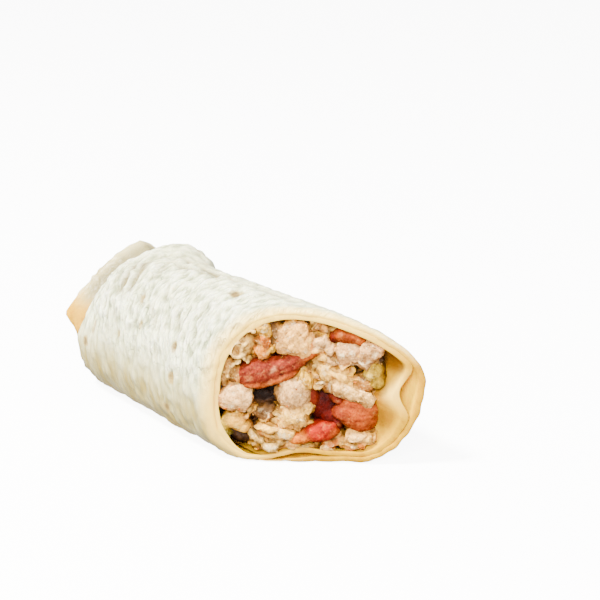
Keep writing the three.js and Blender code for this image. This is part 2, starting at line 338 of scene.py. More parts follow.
def rows(outer, cut, inner, end):
    """A number for each row, from one or more for each of the four runs."""
    runs = ((outer, OUTER_ROWS), (cut, CUT_ROWS), (inner, INNER_ROWS), (end, END_ROWS))
    return np.concatenate([np.broadcast_to(numbers, count) for numbers, count in runs])


row_t = rows(np.linspace(0, 1, OUTER_ROWS), 1, np.linspace(1, 0, INNER_ROWS), 0)
row_t = lerp(row_t, smooth(row_t, 0, 1), ROW_EASE)
cut_turn = np.linspace(0, np.pi, CUT_ROWS + 2)[1:-1]
end_turn = np.linspace(np.pi, 0, END_ROWS + 1)[1:]
is_outer_round = cut_turn < np.pi / 2
cut_part = np.where(
    is_outer_round,
    OUTER_SHARE * (1 - np.cos(cut_turn)),
    OUTER_SHARE - (1 - OUTER_SHARE) * np.cos(cut_turn),
)
row_part = rows(0, cut_part, 1, 0.5 - 0.5 * np.cos(end_turn))
row_cut_outer = rows(1, np.where(is_outer_round, 1 - np.sin(cut_turn), 0), 0, 0)
row_cut_inside = rows(0, np.where(is_outer_round, 0, 1 - np.sin(cut_turn)), 1, 0)
row_end = rows(1, 0, 1, 1 - np.sin(end_turn))
ROWS = len(row_t)


def points_of(mesh):
    """Places and normals of a mesh's vertices."""
    places = np.zeros(len(mesh.vertices) * 3)
    normals = np.zeros(len(mesh.vertices) * 3)
    mesh.vertices.foreach_get("co", places)
    mesh.vertices.foreach_get("normal", normals)
    return places.reshape(-1, 3), normals.reshape(-1, 3)


bm = bmesh.new()
bmesh.ops.create_grid(bm, x_segments=WOUND_STEPS, y_segments=ROWS - 1, size=0.5)
bread_mesh = mesh_of("flatbread", bm)
flat = points_of(bread_mesh)[0]
row = np.rint((flat[:, 1] + 0.5) * (ROWS - 1)).astype(int)
spread = flat[:, 0] + 0.5
# More of the steps go to the outer turn
wound = 2 * TURN * lerp(spread, spread**2, OUTER_CROWDING)
angle = SEAM + wound
part = row_part[row]

round_outer = lerp(CUT_ROUND_OUTER, CUT_ROUND_LAYERS, smooth(wound, TURN - 40, TURN + 20))
reaches_end = smooth(wound, TURN - EDGE_RUN, TURN)
start_x = lerp(OUTER_EDGE_X, TUCKED_X * tuck_at(angle), reaches_end)
nothing = np.zeros(len(wound))
end_x = cut_x(sheet_point(wound, cut_x(outline(angle)[0]), part, nothing)[:, 1])

# The knife leaves a slightly uneven edge
KNIFE_WAVER = 0.7
KNIFE_BACK = 0.2
waver = np.array([
    noise.noise((turned / 21, 3.7, 0)) + 0.5 * noise.noise((turned / 7, 9.1, 0)) for turned in wound
])
end_x = end_x + KNIFE_WAVER * waver - KNIFE_BACK
low_x = start_x + END_ROUND_EDGE * row_end[row]
high_x = end_x - round_outer * row_cut_outer[row] - CUT_ROUND_INSIDE * row_cut_inside[row]
x = lerp(low_x, high_x, row_t[row])
from_cut = end_x - x
around = wound * GIRTH / TURN

# Folds and dents of the rolled sheet: x along the roll, angle round it, both ends of the
# fold, then its width and depth
FOLDS = [
    (33.5, 97, 38.5, 131, 2.0, 1.2),
    (39.5, 103, 44.0, 130, 1.7, 1.0),
    (29.0, 112, 31.5, 134, 1.4, 0.7),
    (47.0, 92, 51.5, 118, 1.6, 0.6),
    (51.0, 126, 55.5, 137, 1.0, 0.55),
    (63.0, 116, 66.5, 128, 1.0, 0.45),
    (61.5, 136, 66.5, 145, 1.0, 0.5),
    (77.0, 132, 81.5, 144, 1.0, 0.5),
    (45.0, 76, 72.0, 85, 2.0, 1.1),
    (52.0, 92, 76.0, 90, 1.8, 0.8),
    (72.0, 85, 112.0, 80, 2.2, 0.5),
    (40.0, 40, 70.0, 52, 2.4, 0.9),
    (24.0, 318, 46.0, 340, 2.0, 0.9),
    (26.0, 350, 58.0, 12, 2.2, 1.0),
    (70.0, 20, 96.0, 24, 2.4, 0.6),
    (60.0, 325, 90.0, 332, 2.4, 0.7),
    (84.0, 350, 88.0, 20, 1.6, 0.6),
    (40.0, 150, 43.5, 166, 1.4, 0.35),
    (54.0, 152, 57.0, 172, 1.4, 0.35),
    (70.0, 158, 72.0, 180, 1.4, 0.3),
    (34.0, 178, 37.0, 196, 1.4, 0.3),
    (88.0, 120, 91.0, 140, 1.2, 0.3),
]
# Toasted spots: x along the roll, angle round it, half length, half width, strength
TOASTED = [
    (94.5, 101, 3.2, 2.4, 1.3),
    (81.5, 154.5, 1.9, 2.4, 1.1),
    (81.0, 177, 2.0, 2.6, 1.15),
    (76.2, 201.5, 2.4, 2.0, 1.0),
    (20.5, 182.5, 2.5, 2.4, 1.2),
    (25.2, 168, 2.4, 4.2, 0.6),
    (53.2, 132, 2.2, 2.2, 0.75),
    (45.0, 163, 2.2, 2.4, 0.65),
    (58.0, 150, 1.9, 2.4, 0.6),
    (71.0, 84, 5.0, 0.9, 0.5),
    (79.0, 84, 3.0, 1.0, 0.45),
    (38.0, 124, 1.0, 3.0, 0.4),
    (42.0, 112, 1.0, 3.0, 0.35),
]
MORE_TOASTED = 34
toast_draw = random.Random(31)
for spot in range(MORE_TOASTED):
    TOASTED.append((
        toast_draw.uniform(16, 112),
        toast_draw.choice([toast_draw.uniform(-70, 72), toast_draw.uniform(205, 300)]),
        toast_draw.uniform(0.8, 2.6),
        toast_draw.uniform(0.7, 2.0),
        toast_draw.uniform(0.35, 0.95),
    ))


def over(far_x, far_angle, near_x, near_angle):
    """Distance from every vertex to a line on the sheet, in millimetres."""
    across = apart(angle, far_angle) * GIRTH / TURN
    run = np.array([near_x - far_x, apart(near_angle, far_angle) * GIRTH / TURN])
    t = np.clip(((x - far_x) * run[0] + across * run[1]) / (run @ run), 0, 1)
    return np.hypot(x - far_x - t * run[0], across - t * run[1])


# Painted shade for the shadowed hollows of the wall inside the roll: across, up, half width, half
# height, strength
RECESSES = [
    (26.0, 36.4, 9.4, 7.0, 1.0),
    (24.0, 16.9, 6.4, 7.0, 0.8),
    (22.0, 25.5, 5.6, 10.0, 0.8),
]
# Width of the waves, crinkles and blisters, along the roll and round it
WAVE_WIDE = (21, 26)
BEND_WIDE = (9, 9)
CRINKLE_WIDE = (2.6, 5.0)
FINE_CRINKLE_WIDE = (1.4, 2.8)
BLISTER_WIDE = (5.5, 5.5)


def unevenness(along, turned, wide, layer, bend=0.0):
    """Noise on the unrolled sheet, from about -1 to 1."""
    return noise.noise((along / wide[0] + bend, turned / wide[1], layer))


is_outside = smooth(wound, TURN + 40, TURN - 40)
wave = np.zeros(len(wound))
crinkle = np.zeros(len(wound))
blister = np.zeros(len(wound))
for i, (along, turned) in enumerate(zip(x, around)):
    wave[i] = unevenness(along, turned, WAVE_WIDE, 1.3)
    bend = 0.8 * unevenness(along, turned, BEND_WIDE, 7.7)
    fine = unevenness(along, turned, CRINKLE_WIDE, 4.1, bend)
    finer = unevenness(along, turned, FINE_CRINKLE_WIDE, 8.4, bend)
    crinkle[i] = 0.9 * fine + 1.1 * finer
    blister[i] = unevenness(along, turned, BLISTER_WIDE, 2.9)
uneven_fold = 1 + 0.7 * blister
crease = nothing
ridge = nothing
for far_x, far_angle, near_x, near_angle, width, deep in FOLDS:
    gap = over(far_x, far_angle, near_x, near_angle) / width * uneven_fold + 0.5 * np.abs(wave)
    crease = np.maximum(crease, deep * np.exp(-(gap**2)))
    ridge = np.maximum(ridge, 0.5 * deep * np.exp(-((gap - 1.9) ** 2)))
toast = nothing
for spot_x, spot_angle, long, wide, strength in TOASTED:
    gap = np.hypot((x - spot_x) / long, apart(angle, spot_angle) * GIRTH / TURN / wide)
    toast = np.maximum(toast, strength * smooth(1.35 - gap, 0, 1))

# Depth of the relief, in millimetres, with the crinkles deepest on the upper side
WAVE_DEPTH = 0.55
BLISTER_DEPTH = 0.45
TOAST_DEPTH = 0.35
CRINKLE_LEAST = 0.26
CRINKLE_WAVES = 0.28
CRINKLE_UPPER = 0.50
UPPER_PLACE = 122
UPPER_SPREAD = 62
PINCH = 0.6
PINCH_LENGTH = 7
TABLE_PLACE = 262
TABLE_SPREAD = 30
TABLE_PRESS = 0.6
upper = bump(apart(angle, UPPER_PLACE) / UPPER_SPREAD)
crinkle_depth = CRINKLE_LEAST + CRINKLE_WAVES * smooth(wave, -0.3, 0.5) + CRINKLE_UPPER * upper
calm = lerp(0.6, 1, smooth(from_cut, 1, 12))
relief = WAVE_DEPTH * wave * calm + crinkle_depth * crinkle * calm + BLISTER_DEPTH * blister * calm
relief = relief + ridge - crease - TOAST_DEPTH * toast
inner_calm = lerp(1, lerp(0.9, 0.35, smooth(x, 10, 18)), smooth(wound, TURN - 20, TURN + 20))
relief = relief * inner_calm * lerp(1, 0.55, part)
pinch = PINCH * (1 - smooth(from_cut, 0, PINCH_LENGTH)) ** 2
place = sheet_point(wound, x, part, relief - pinch)
on_table = bump(apart(angle, TABLE_PLACE) / TABLE_SPREAD) * (wound < TURN)
place[:, 2] = lerp(place[:, 2], np.maximum(place[:, 2] - TABLE_PRESS, 0), on_table)
bread_mesh.vertices.foreach_set("co", ((place - ORIGIN) * MM).ravel())

# How far each part of the sheet is golden, griddled, folded and given painted shade, painted highlight
# and painted glow, from 0 to 1
OUTER_END = (14, 22)
FLAP_END = (10, 22)
TIP_STARTS = (138, 168)
TIP_ENDS = (200, 240)
RIGHT_PLACE = -40
# Angles round the roll where the griddled tan and the painted shade of the lower flank start and end
GRIDDLED_STARTS = (157, 198)
GRIDDLED_ENDS = (300, 345)
turned = angle % TURN
warm = np.clip(smooth(wound, TURN - 30, TURN + 10) + smooth(part, 0.15, 0.8), 0, 1)
outer_end = (wound <= TURN - 20) * (1 - smooth(x, *OUTER_END))
warm = lerp(warm, 0.2 * warm, outer_end)
warm = np.maximum(warm, 0.09 * bump(apart(angle, 0) / 110))
folded_side = (wound > TURN - 20) * (1 - smooth(x, *FLAP_END))
flap = folded_side * (part < 0.9)
tip = smooth(turned, *TIP_STARTS) * (1 - smooth(turned, *TIP_ENDS))
warm = lerp(warm, 0.2 + 0.8 * tip, flap)
warm = lerp(warm, 0.3, folded_side * (part >= 0.9))
# Painted shadow in the groove between the flap and the outer sheet's edge
groove = flap * smooth(x, 2.2, 7.0) * (1 - 0.85 * tip)
right_side = smooth(100 - np.abs(apart(angle, RIGHT_PLACE)), 0, 50)
across = (place[:, 0] - AXIS_LENGTH) * math.sin(CUT_SKEW) + place[:, 1] * math.cos(CUT_SKEW)
facing_in = np.clip(smooth(part, 0.4, 0.9) + smooth(wound, TURN, TURN + 20), 0, 1)
# Painted shade over the hollows listed above
recess = nothing
for recess_across, recess_up, half_across, half_up, strength in RECESSES:
    gap = np.hypot((across - recess_across) / half_across, (place[:, 2] - recess_up) / half_up)
    recess = np.maximum(recess, strength * (1 - smooth(gap, 0.35, 1)))
recess = recess * facing_in * smooth(from_cut, 0.5, 2.5)
warm = np.maximum(warm, right_side * (1 - smooth(from_cut, 1, 7)))
rim_reach = lerp(6.0, 1.6, smooth(part, 0.5, 0.95))
rim = smooth(rim_reach - from_cut, 0, rim_reach) * (1 - right_side)
# Painted glow on the faces of the shadowed gap between the two layers at the buckle
between_layers = np.where(wound < TURN, part > 0.97, part < 0.03)
in_gap = between_layers * bump(apart(angle, BUCKLE_PLACE) / 34)
in_gap = in_gap * smooth(from_cut, 0.2, 1.5) * (1 - smooth(from_cut, 12, 24))
fold_edge = (wound > TURN) * bump(apart(angle, BUCKLE_PLACE) / (BUCKLE_SPREAD + 3))
rim = np.maximum(rim, fold_edge * (1 - smooth(from_cut, 1.2, 4.0)) * (part > 0.03))
# Griddled tan, which also paints shade on the lower flank
griddled = smooth(turned, *GRIDDLED_STARTS) * (1 - smooth(turned, *GRIDDLED_ENDS))
griddled = np.maximum(griddled, 0.3 * bump((x - 50) / 24) * bump(apart(angle, 74) / 34))
griddled = np.maximum(griddled, 0.6 * flap)


def add_amounts(mesh, amounts):
    """A number for each vertex, under each label."""
    for label, values in amounts.items():
        layer = mesh.attributes.new(label, "FLOAT", "POINT")
        layer.data.foreach_set("value", values)


sheet_amounts = {
    "warm": warm,
    "rim": rim,
    "toast": toast * (1 - 0.7 * warm),
    # Painted shade in the crinkle valleys
    "crease": np.clip((0.05 - crinkle_depth * 2.2 * crinkle) * calm * (1 - warm), 0, 1),
    # Painted shade in the folds, painted shadow in the flap's groove
    "fold": np.clip(np.maximum(crease * is_outside, groove), 0, 1),
    # Painted highlight on the crinkle ridges
    "ridge": np.clip(crinkle_depth * 2.0 * crinkle - 0.1, 0, 1) * calm * (1 - warm),
    # Painted shade, darker deeper inside the roll
    "inside": 0.5 * smooth(from_cut, 4, 15) * smooth(part, 0.4, 0.9),
    # Painted shade in the wall's hollows
    "recess": recess,
    # Painted glow in the shadowed gap between the layers
    "gap": in_gap,
    # Griddled tan, also painted shade on the lower flank
    "griddled": griddled,
    "crinkled": lerp(0.32, 1, bump(apart(angle, 128) / 75)),
    "unrolled_x": x * MM,
    "unrolled_y": around * MM,
}
add_amounts(bread_mesh, sheet_amounts)

# The side of the sheet folded in across the end, gathered in pleats
DISH_X = 7.0
DISH_DEPTH = 4.0
DISH_THICKNESS = 2.4
DISH_STEPS = 108
DISH_RINGS = 26
# A depth past the middle of the roll, which roll_point brings back to the middle
PAST_MIDDLE = 500.0
PLEATS = 7
PLEAT_DEPTH = 2.6
CRUMPLE_DEPTH = 2.0
bm = bmesh.new()
bmesh.ops.create_grid(bm, x_segments=DISH_STEPS, y_segments=2 * DISH_RINGS, size=0.5)
dish_mesh = mesh_of("folded_end", bm)
flat = points_of(dish_mesh)[0]
dish_angle = (flat[:, 0] + 0.5) * TURN
dish_turn = np.radians(dish_angle)
radius = 1 - np.abs(2 * flat[:, 1])
is_back = np.where(flat[:, 1] > 0, 1, 0)
zero = np.zeros(len(radius))
edge = sheet_point((dish_angle - SEAM) % TURN + TURN, zero + DISH_X, zero + 0.6, zero)
middle = roll_point(np.zeros(1), np.full(1, DISH_X), np.full(1, PAST_MIDDLE))[0]
swirl = dish_turn * PLEATS + 3 * radius + 0.9 * np.sin(dish_turn * 2)
pleat = np.abs(np.sin(swirl / 2)) ** 0.6 * 1.8 - 1.0
pleat = pleat * np.minimum(radius * 3, 1) * (1.15 - radius)
crumple = np.array([
    noise.noise((out * 6, math.cos(turn) * 3, math.sin(turn) * 3))
    for out, turn in zip(radius, dish_turn)
])
dish = lerp(middle, edge, radius[:, None])
dish[:, 0] = DISH_X + DISH_DEPTH * (1 - radius**2) - PLEAT_DEPTH * pleat + CRUMPLE_DEPTH * crumple
dish[:, 0] += DISH_THICKNESS * is_back
dish_mesh.vertices.foreach_set("co", ((dish - ORIGIN) * MM).ravel())
add_amounts(dish_mesh, dict.fromkeys(sheet_amounts, zero) | {
    "warm": zero + 0.22,
    "toast": np.clip(0.5 * crumple, 0, 1),
    # Painted shade in the valleys of the pleats
    "fold": np.clip(-0.9 * pleat, 0, 1),
    "griddled": zero + 0.25,
    "crinkled": zero + 0.3,
    "unrolled_x": dish[:, 1] * MM,
    "unrolled_y": dish[:, 2] * MM,
})


def joined(mesh, gap):
    """A mesh opened for work, with the vertices nearer than the gap joined up."""
    bm = bmesh.new()
    bm.from_mesh(mesh)
    bmesh.ops.remove_doubles(bm, verts=bm.verts, dist=gap)
    return bm


bm = joined(dish_mesh, 0.02 * MM)
bmesh.ops.recalc_face_normals(bm, faces=bm.faces)
bm.to_mesh(dish_mesh)
bm.free()

bm = joined(bread_mesh, 0.004 * MM)
bmesh.ops.holes_fill(bm, edges=[e for e in bm.edges if e.is_boundary], sides=0)
bmesh.ops.recalc_face_normals(bm, faces=bm.faces)
bm.from_mesh(dish_mesh)
bm.to_mesh(bread_mesh)
bm.free()
bread_mesh.shade_smooth()
bread = add_object("bread", bread_mesh)


def add_node(tree, kind, **settings):
    node = tree.nodes.new(kind)
    for key, value in settings.items():
        setattr(node, key, value)
    return node


def amount(tree, label):
    return add_node(tree, "ShaderNodeAttribute", attribute_name=label).outputs["Fac"]


def mix_colour(tree, factor, first, second, blend="MIX"):
    node = add_node(tree, "ShaderNodeMix", data_type="RGBA", blend_type=blend)
    feed(node, {0: factor, 6: first, 7: second})
    return node.outputs[2]


def ramp(tree, value, low, high, bottom=0.0, top=1.0):
    node = add_node(tree, "ShaderNodeMapRange", interpolation_type="SMOOTHSTEP")
    feed(node, {"Value": value, "From Min": low, "From Max": high, "To Min": bottom, "To Max": top})
    return node.outputs["Result"]


def arithmetic(tree, operation, first, second):
    node = add_node(tree, "ShaderNodeMath", operation=operation)
    feed(node, {0: first, 1: second})
    return node.outputs[0]


def grain(tree, coordinates, scale, detail, roughness=0.55):
    node = add_node(tree, "ShaderNodeTexNoise")
    feed(node, {"Vector": coordinates, "Scale": scale, "Detail": detail, "Roughness": roughness})
    return node.outputs["Fac"]


bread_paint, tree, shader = new_material("flatbread")
spot = add_node(tree, "ShaderNodeTexCoord").outputs["Object"]
patches = grain(tree, spot, 70, 3)
freckles = grain(tree, spot, 420, 2)
fine_grain = grain(tree, spot, 1500, 3)
WHITE_FLOUR = (0.93, 0.93, 0.59, 1)
GREY_FLOUR = (0.80, 0.835, 0.50, 1)
# Painted highlight on the crinkle ridges and the pucker tops
BRIGHT_FLOUR = (1.0, 0.995, 0.72, 1)
FRECKLE = (0.78, 0.64, 0.30, 1)
# Painted shade for the crinkle valleys, the dents of the puckers and swells, and the wrinkle lines
CREASE_SHADE = (0.34, 0.36, 0.18, 1)
# Painted shade for the folds, the flap's groove and the pleats
FOLD_SHADE = (0.24, 0.20, 0.085, 1)
# Griddled tan, also painted shade on the lower flank
GRIDDLED = (0.345, 0.258, 0.056, 1)
GOLDEN = (0.50, 0.238, 0.0, 1)
PALE_GOLDEN = (0.62, 0.325, 0.0, 1)
# Amber of the freckles, also painted shade deeper inside the roll
AMBER = (0.36, 0.145, 0.0, 1)
# Painted shade in the hollows of the wall
RECESS_AMBER = (0.20, 0.072, 0.0, 1)
# Painted glow for the shadowed gap between the layers
GAP_GOLD = (1.0, 0.58, 0.0, 1)
CREAM_EDGE = (1.0, 0.66, 0.12, 1)
TOAST = (0.40, 0.26, 0.055, 1)
DARK_TOAST = (0.15, 0.085, 0.016, 1)
PUCKER_DRAWN = 0.34
STREAK_DRAWN = 0.22
BREAD_ROUGHNESS = 0.40
BREAD_GLOSS = 0.45
BREAD_GLOW = 0.2
BREAD_GLOW_REACH = (1.0, 0.72, 0.42)
BREAD_GLOW_DEPTH = 1.1 * MM
DENT_DEPTH = 1.0 * MM
floury = mix_colour(tree, ramp(tree, patches, 0.35, 0.7), WHITE_FLOUR, GREY_FLOUR)
floury = mix_colour(tree, ramp(tree, freckles, 0.58, 0.75, 0, 0.5), floury, FRECKLE)
unrolled = add_node(tree, "ShaderNodeCombineXYZ")
feed(unrolled, {"X": amount(tree, "unrolled_x"), "Y": amount(tree, "unrolled_y")})


def drawn_out(tree, share):
    """Places on the unrolled sheet, for a pattern drawn out round the roll."""
    node = add_node(tree, "ShaderNodeVectorMath", operation="MULTIPLY")
    feed(node, {0: unrolled.outputs["Vector"], 1: (1, share, 1)})
    return node.outputs["Vector"]


on_sheet = drawn_out(tree, PUCKER_DRAWN)
puckers = grain(tree, on_sheet, 760, 1, 0.5)
swells = grain(tree, on_sheet, 400, 1, 0.5)
winding = grain(tree, on_sheet, 480, 1, 0.5)
off_line = arithmetic(tree, "ABSOLUTE", arithmetic(tree, "SUBTRACT", winding, 0.5), 0)
wrinkles = ramp(tree, off_line, 0.0, 0.045, 1.0, 0.0)
wrinkles = arithmetic(tree, "MULTIPLY", wrinkles, ramp(tree, patches, 0.35, 0.6, 0.35, 1.0))
crinkled = amount(tree, "crinkled")
# Painted shade in the dents of the puckers and swells and along the wrinkle lines, painted highlight
# on the pucker tops
for pattern, shade in (
    (ramp(tree, puckers, 0.48, 0.30, 0, 0.25), CREASE_SHADE),
    (ramp(tree, swells, 0.47, 0.30, 0, 0.35), CREASE_SHADE),
    (ramp(tree, puckers, 0.52, 0.68, 0, 0.8), BRIGHT_FLOUR),
    (arithmetic(tree, "MULTIPLY", wrinkles, 0.25), CREASE_SHADE),
):
    floury = mix_colour(tree, arithmetic(tree, "MULTIPLY", pattern, crinkled), floury, shade)
# Painted highlight on the crinkle ridges
floury = mix_colour(tree, amount(tree, "ridge"), floury, BRIGHT_FLOUR)
# Painted shade in the crinkle valleys
lit_crease = arithmetic(tree, "MULTIPLY", amount(tree, "crease"), 0.85)
floury = mix_colour(tree, lit_crease, floury, CREASE_SHADE)
# Griddled tan, also painted shade on the lower flank, laid in soft streaks
griddle = amount(tree, "griddled")
streaks = grain(tree, drawn_out(tree, STREAK_DRAWN), 190, 2)
streaked = arithmetic(tree, "MULTIPLY", griddle, ramp(tree, streaks, 0.35, 0.65, 0.75, 1.0))
floury = mix_colour(tree, streaked, floury, GRIDDLED)
golden = mix_colour(tree, ramp(tree, patches, 0.35, 0.65), PALE_GOLDEN, GOLDEN)
golden = mix_colour(tree, ramp(tree, freckles, 0.45, 0.7, 0, 0.4), golden, AMBER)
# Painted shade deeper inside the roll
golden = mix_colour(tree, amount(tree, "inside"), golden, AMBER)
# Painted shade in the wall's hollows
golden = mix_colour(tree, amount(tree, "recess"), golden, RECESS_AMBER)
# Painted glow in the shadowed gap between the layers
golden = mix_colour(tree, amount(tree, "gap"), golden, GAP_GOLD)
golden_part = amount(tree, "warm")
surface = mix_colour(tree, golden_part, floury, golden)
# Painted shade in the folds, the flap's groove and the pleats
surface = mix_colour(tree, amount(tree, "fold"), surface, FOLD_SHADE)
edge_cream = arithmetic(tree, "MULTIPLY", amount(tree, "rim"), 0.75)
surface = mix_colour(tree, edge_cream, surface, CREAM_EDGE)
uneven = ramp(tree, freckles, 0.3, 0.6, 0.6, 1.0)
toasted = arithmetic(tree, "MULTIPLY", amount(tree, "toast"), uneven)
surface = mix_colour(tree, ramp(tree, toasted, 0.1, 0.6, 0, 0.75), surface, TOAST)
surface = mix_colour(tree, ramp(tree, toasted, 0.5, 1.1, 0, 0.8), surface, DARK_TOAST)
rough_outside = ramp(tree, golden_part, 0.05, 0.7, 1.0, 0.3)
calm_flank = ramp(tree, griddle, 0.0, 0.9, 1.0, 0.35)
calm_outside = arithmetic(tree, "MULTIPLY", calm_flank, crinkled)
dent_strength = arithmetic(tree, "MULTIPLY", rough_outside, calm_outside)
bread_height = arithmetic(tree, "MULTIPLY", puckers, 2.0)
for pattern, weight in ((swells, 4.0), (fine_grain, 0.4), (wrinkles, -0.5)):
    bread_height = arithmetic(tree, "ADD", bread_height, arithmetic(tree, "MULTIPLY", pattern, weight))
dents = add_node(tree, "ShaderNodeBump")
feed(dents, {"Strength": dent_strength, "Distance": DENT_DEPTH, "Height": bread_height})
feed(shader, {
    "Base Color": surface,
    "Normal": dents.outputs["Normal"],
    "Roughness": BREAD_ROUGHNESS,
    "Specular IOR Level": BREAD_GLOSS,
    "Subsurface Weight": BREAD_GLOW,
    "Subsurface Radius": BREAD_GLOW_REACH,
    "Subsurface Scale": BREAD_GLOW_DEPTH,
})
# The golden inside is dry, so its gloss fades
feed(shader, {"Specular IOR Level": ramp(tree, golden_part, 0.1, 0.8, BREAD_GLOSS, 0.0)})
bread_mesh.materials.append(bread_paint)
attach(bread, "root")
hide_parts("flatbread")

# Packed filling
# Chopped meat and vegetables pressed together behind the pieces that show at the cut.
# It is moist and brown, painted darker as shade since it shows only deep in the gaps,
# and fills the roll up to the folded end.
FILLING_VOXEL = 0.9 * MM
FILLING_SMOOTHING = 3
FILLING_LUMP = 0.7
FILLING_LUMP_WIDE = 4.5
FILLING_GRAIN = 0.3
FILLING_GRAIN_WIDE = 1.6
FILLING_ROUGHNESS = 0.4
# Its own moist brown, painted darker as shade for the deep gaps
DARK_MASH = (0.08, 0.03, 0.008, 1)
PALE_MASH = (0.30, 0.13, 0.03, 1)
RED_MASH = (0.16, 0.02, 0.008, 1)


def solid_copy(node):
    """The CAD node's mesh with its loose triangles joined up."""
    source = next(o for o in bpy.data.objects if o.get("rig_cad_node") == node)
    return joined(source.data, 0.002 * MM)


def voxel_skin(name, bm, voxel, smoothing):
    """One closed even mesh over everything in bm."""
    rough = mesh_of(name + "_rough", bm)
    holder = add_object(name + "_rough", rough)
    remesh = holder.modifiers.new("skin", "REMESH")
    remesh.mode = "VOXEL"
    remesh.voxel_size = voxel
    soften = holder.modifiers.new("soften", "SMOOTH")
    soften.factor = 0.5
    soften.iterations = smoothing
    evaluated = holder.evaluated_get(bpy.context.evaluated_depsgraph_get())
    mesh = bpy.data.meshes.new_from_object(evaluated)
    mesh.name = name
    bpy.data.objects.remove(holder)
    bpy.data.meshes.remove(rough)
    return mesh


filling_mesh = voxel_skin("filling", solid_copy("packed_filling"), FILLING_VOXEL, FILLING_SMOOTHING)
filling_places, filling_normals = points_of(filling_mesh)
for spot, normal in zip(filling_places, filling_normals):
    lump = noise.noise(spot / MM / FILLING_LUMP_WIDE) - 0.5
    rough = noise.noise(spot / MM / FILLING_GRAIN_WIDE)
    spot += normal * (FILLING_LUMP * lump + FILLING_GRAIN * rough) * MM
filling_mesh.vertices.foreach_set("co", filling_places.ravel())
filling_mesh.shade_smooth()
filling = add_object("filling", filling_mesh)
filling_paint, tree, shader = new_material("packed_filling")
spot = add_node(tree, "ShaderNodeTexCoord").outputs["Object"]
# Dark mash, partly painted shade
mash = mix_colour(tree, ramp(tree, grain(tree, spot, 260, 3), 0.35, 0.65), DARK_MASH, PALE_MASH)
mash = mix_colour(tree, ramp(tree, grain(tree, spot, 130, 2), 0.55, 0.7), mash, RED_MASH)
feed(shader, {"Base Color": mash, "Roughness": FILLING_ROUGHNESS})
filling_mesh.materials.append(filling_paint)
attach(filling, "root")
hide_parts("packed_filling")

# Chicken
# Strips and chunks of marinated grilled chicken, pale and fibrous where the knife went
# through and browned with spice on their outsides, with painted shade on their undersides
# and on the sides that lie deeper in the roll. They lie loose in the bread.

# From the cut face, across, behind it and up in millimetres, to the part's own frame
CUT_FRAME = Matrix((
    (math.sin(CUT_SKEW), -math.cos(CUT_SKEW), 0, AXIS_LENGTH - ORIGIN[0]),
    (math.cos(CUT_SKEW), math.sin(CUT_SKEW), 0, -ORIGIN[1]),
    (0, 0, 1, 0),
    (0, 0, 0, 1),
))
# Red, green and blue of the filling
TONES = {
    "pale": (0.92, 0.46, 0.10),
    "pink": (0.80, 0.43, 0.15),
    # Painted shade for the dome's left side
    "dome_painted_shade": (0.56, 0.26, 0.055),
    "grey": (0.66, 0.35, 0.12),
    "ash": (0.66, 0.33, 0.11),
    "cream": (0.88, 0.47, 0.07),
    "white": (0.84, 0.46, 0.12),
    "yellow": (0.74, 0.38, 0.012),
    "spice": (0.44, 0.10, 0.0),
    "turmeric": (0.56, 0.17, 0.0),
    "pickle": (0.76, 0.38, 0.032),
    "rust": (0.23, 0.038, 0.0),
    "tan": (0.46, 0.19, 0.03),
    # Near-black painted shade for voids, shadowed sides and the deepest shreds
    "painted_shade_brown": (0.05, 0.02, 0.006),
    # Painted shade for the recessed chunk that lies in shadow
    "shade": (0.20, 0.095, 0.028),
    "brick": (0.18, 0.020, 0.006),
    "veil": (0.66, 0.30, 0.14),
    "orange": (0.34, 0.070, 0.002),
    "flame": (0.34, 0.013, 0.0),
    "salmon": (0.38, 0.062, 0.004),
    "amber": (0.58, 0.15, 0.001),
    "crimson": (0.10, 0.003, 0.0),
    "lime": (0.39, 0.235, 0.004),
    "moss": (0.12, 0.09, 0.006),
    "beige": (0.58, 0.34, 0.075),
    "pearl": (0.74, 0.48, 0.14),
    "olive": (0.28, 0.13, 0.018),
}
PIECE_VOXEL = 0.36 * MM
PIECE_SMOOTHING = 3
LOBE_SQUARENESS = 2.5
LOBE_SWELL = 1.12
LOBE_FADE = 3.2
WARP_WIDE = 5.5
JAG_WIDE = 2.0
STRAND_LEAN = 25
SEED_STEP = np.array((17.3, 5.1, 9.7))
KNIFE_PLANE = 0.1
KNIFE_KEPT = 0.75
BACK_LIMIT = 12.4
SAUCE_FROM = 0.5
SAUCE_OVER = 2.5
CRUMB_FACING = -0.25
CRUMB_DEPTH = 6.0
GOLDEN_FROM = 0.3
GOLDEN_TO = 2.4
GOLDEN_SIDE = np.array((0.78, 0.70, 0.50))
BROWN_TO = 4.8
# Painted shade for surfaces that face down
UNDERSIDE = np.array((0.66, 0.56, 0.42))
# Browned sides, also painted shade further behind the cut
BROWN_SIDE = np.array((0.30, 0.25, 0.19))
# Places on the cut chicken where a crumb can stick
fronts = []

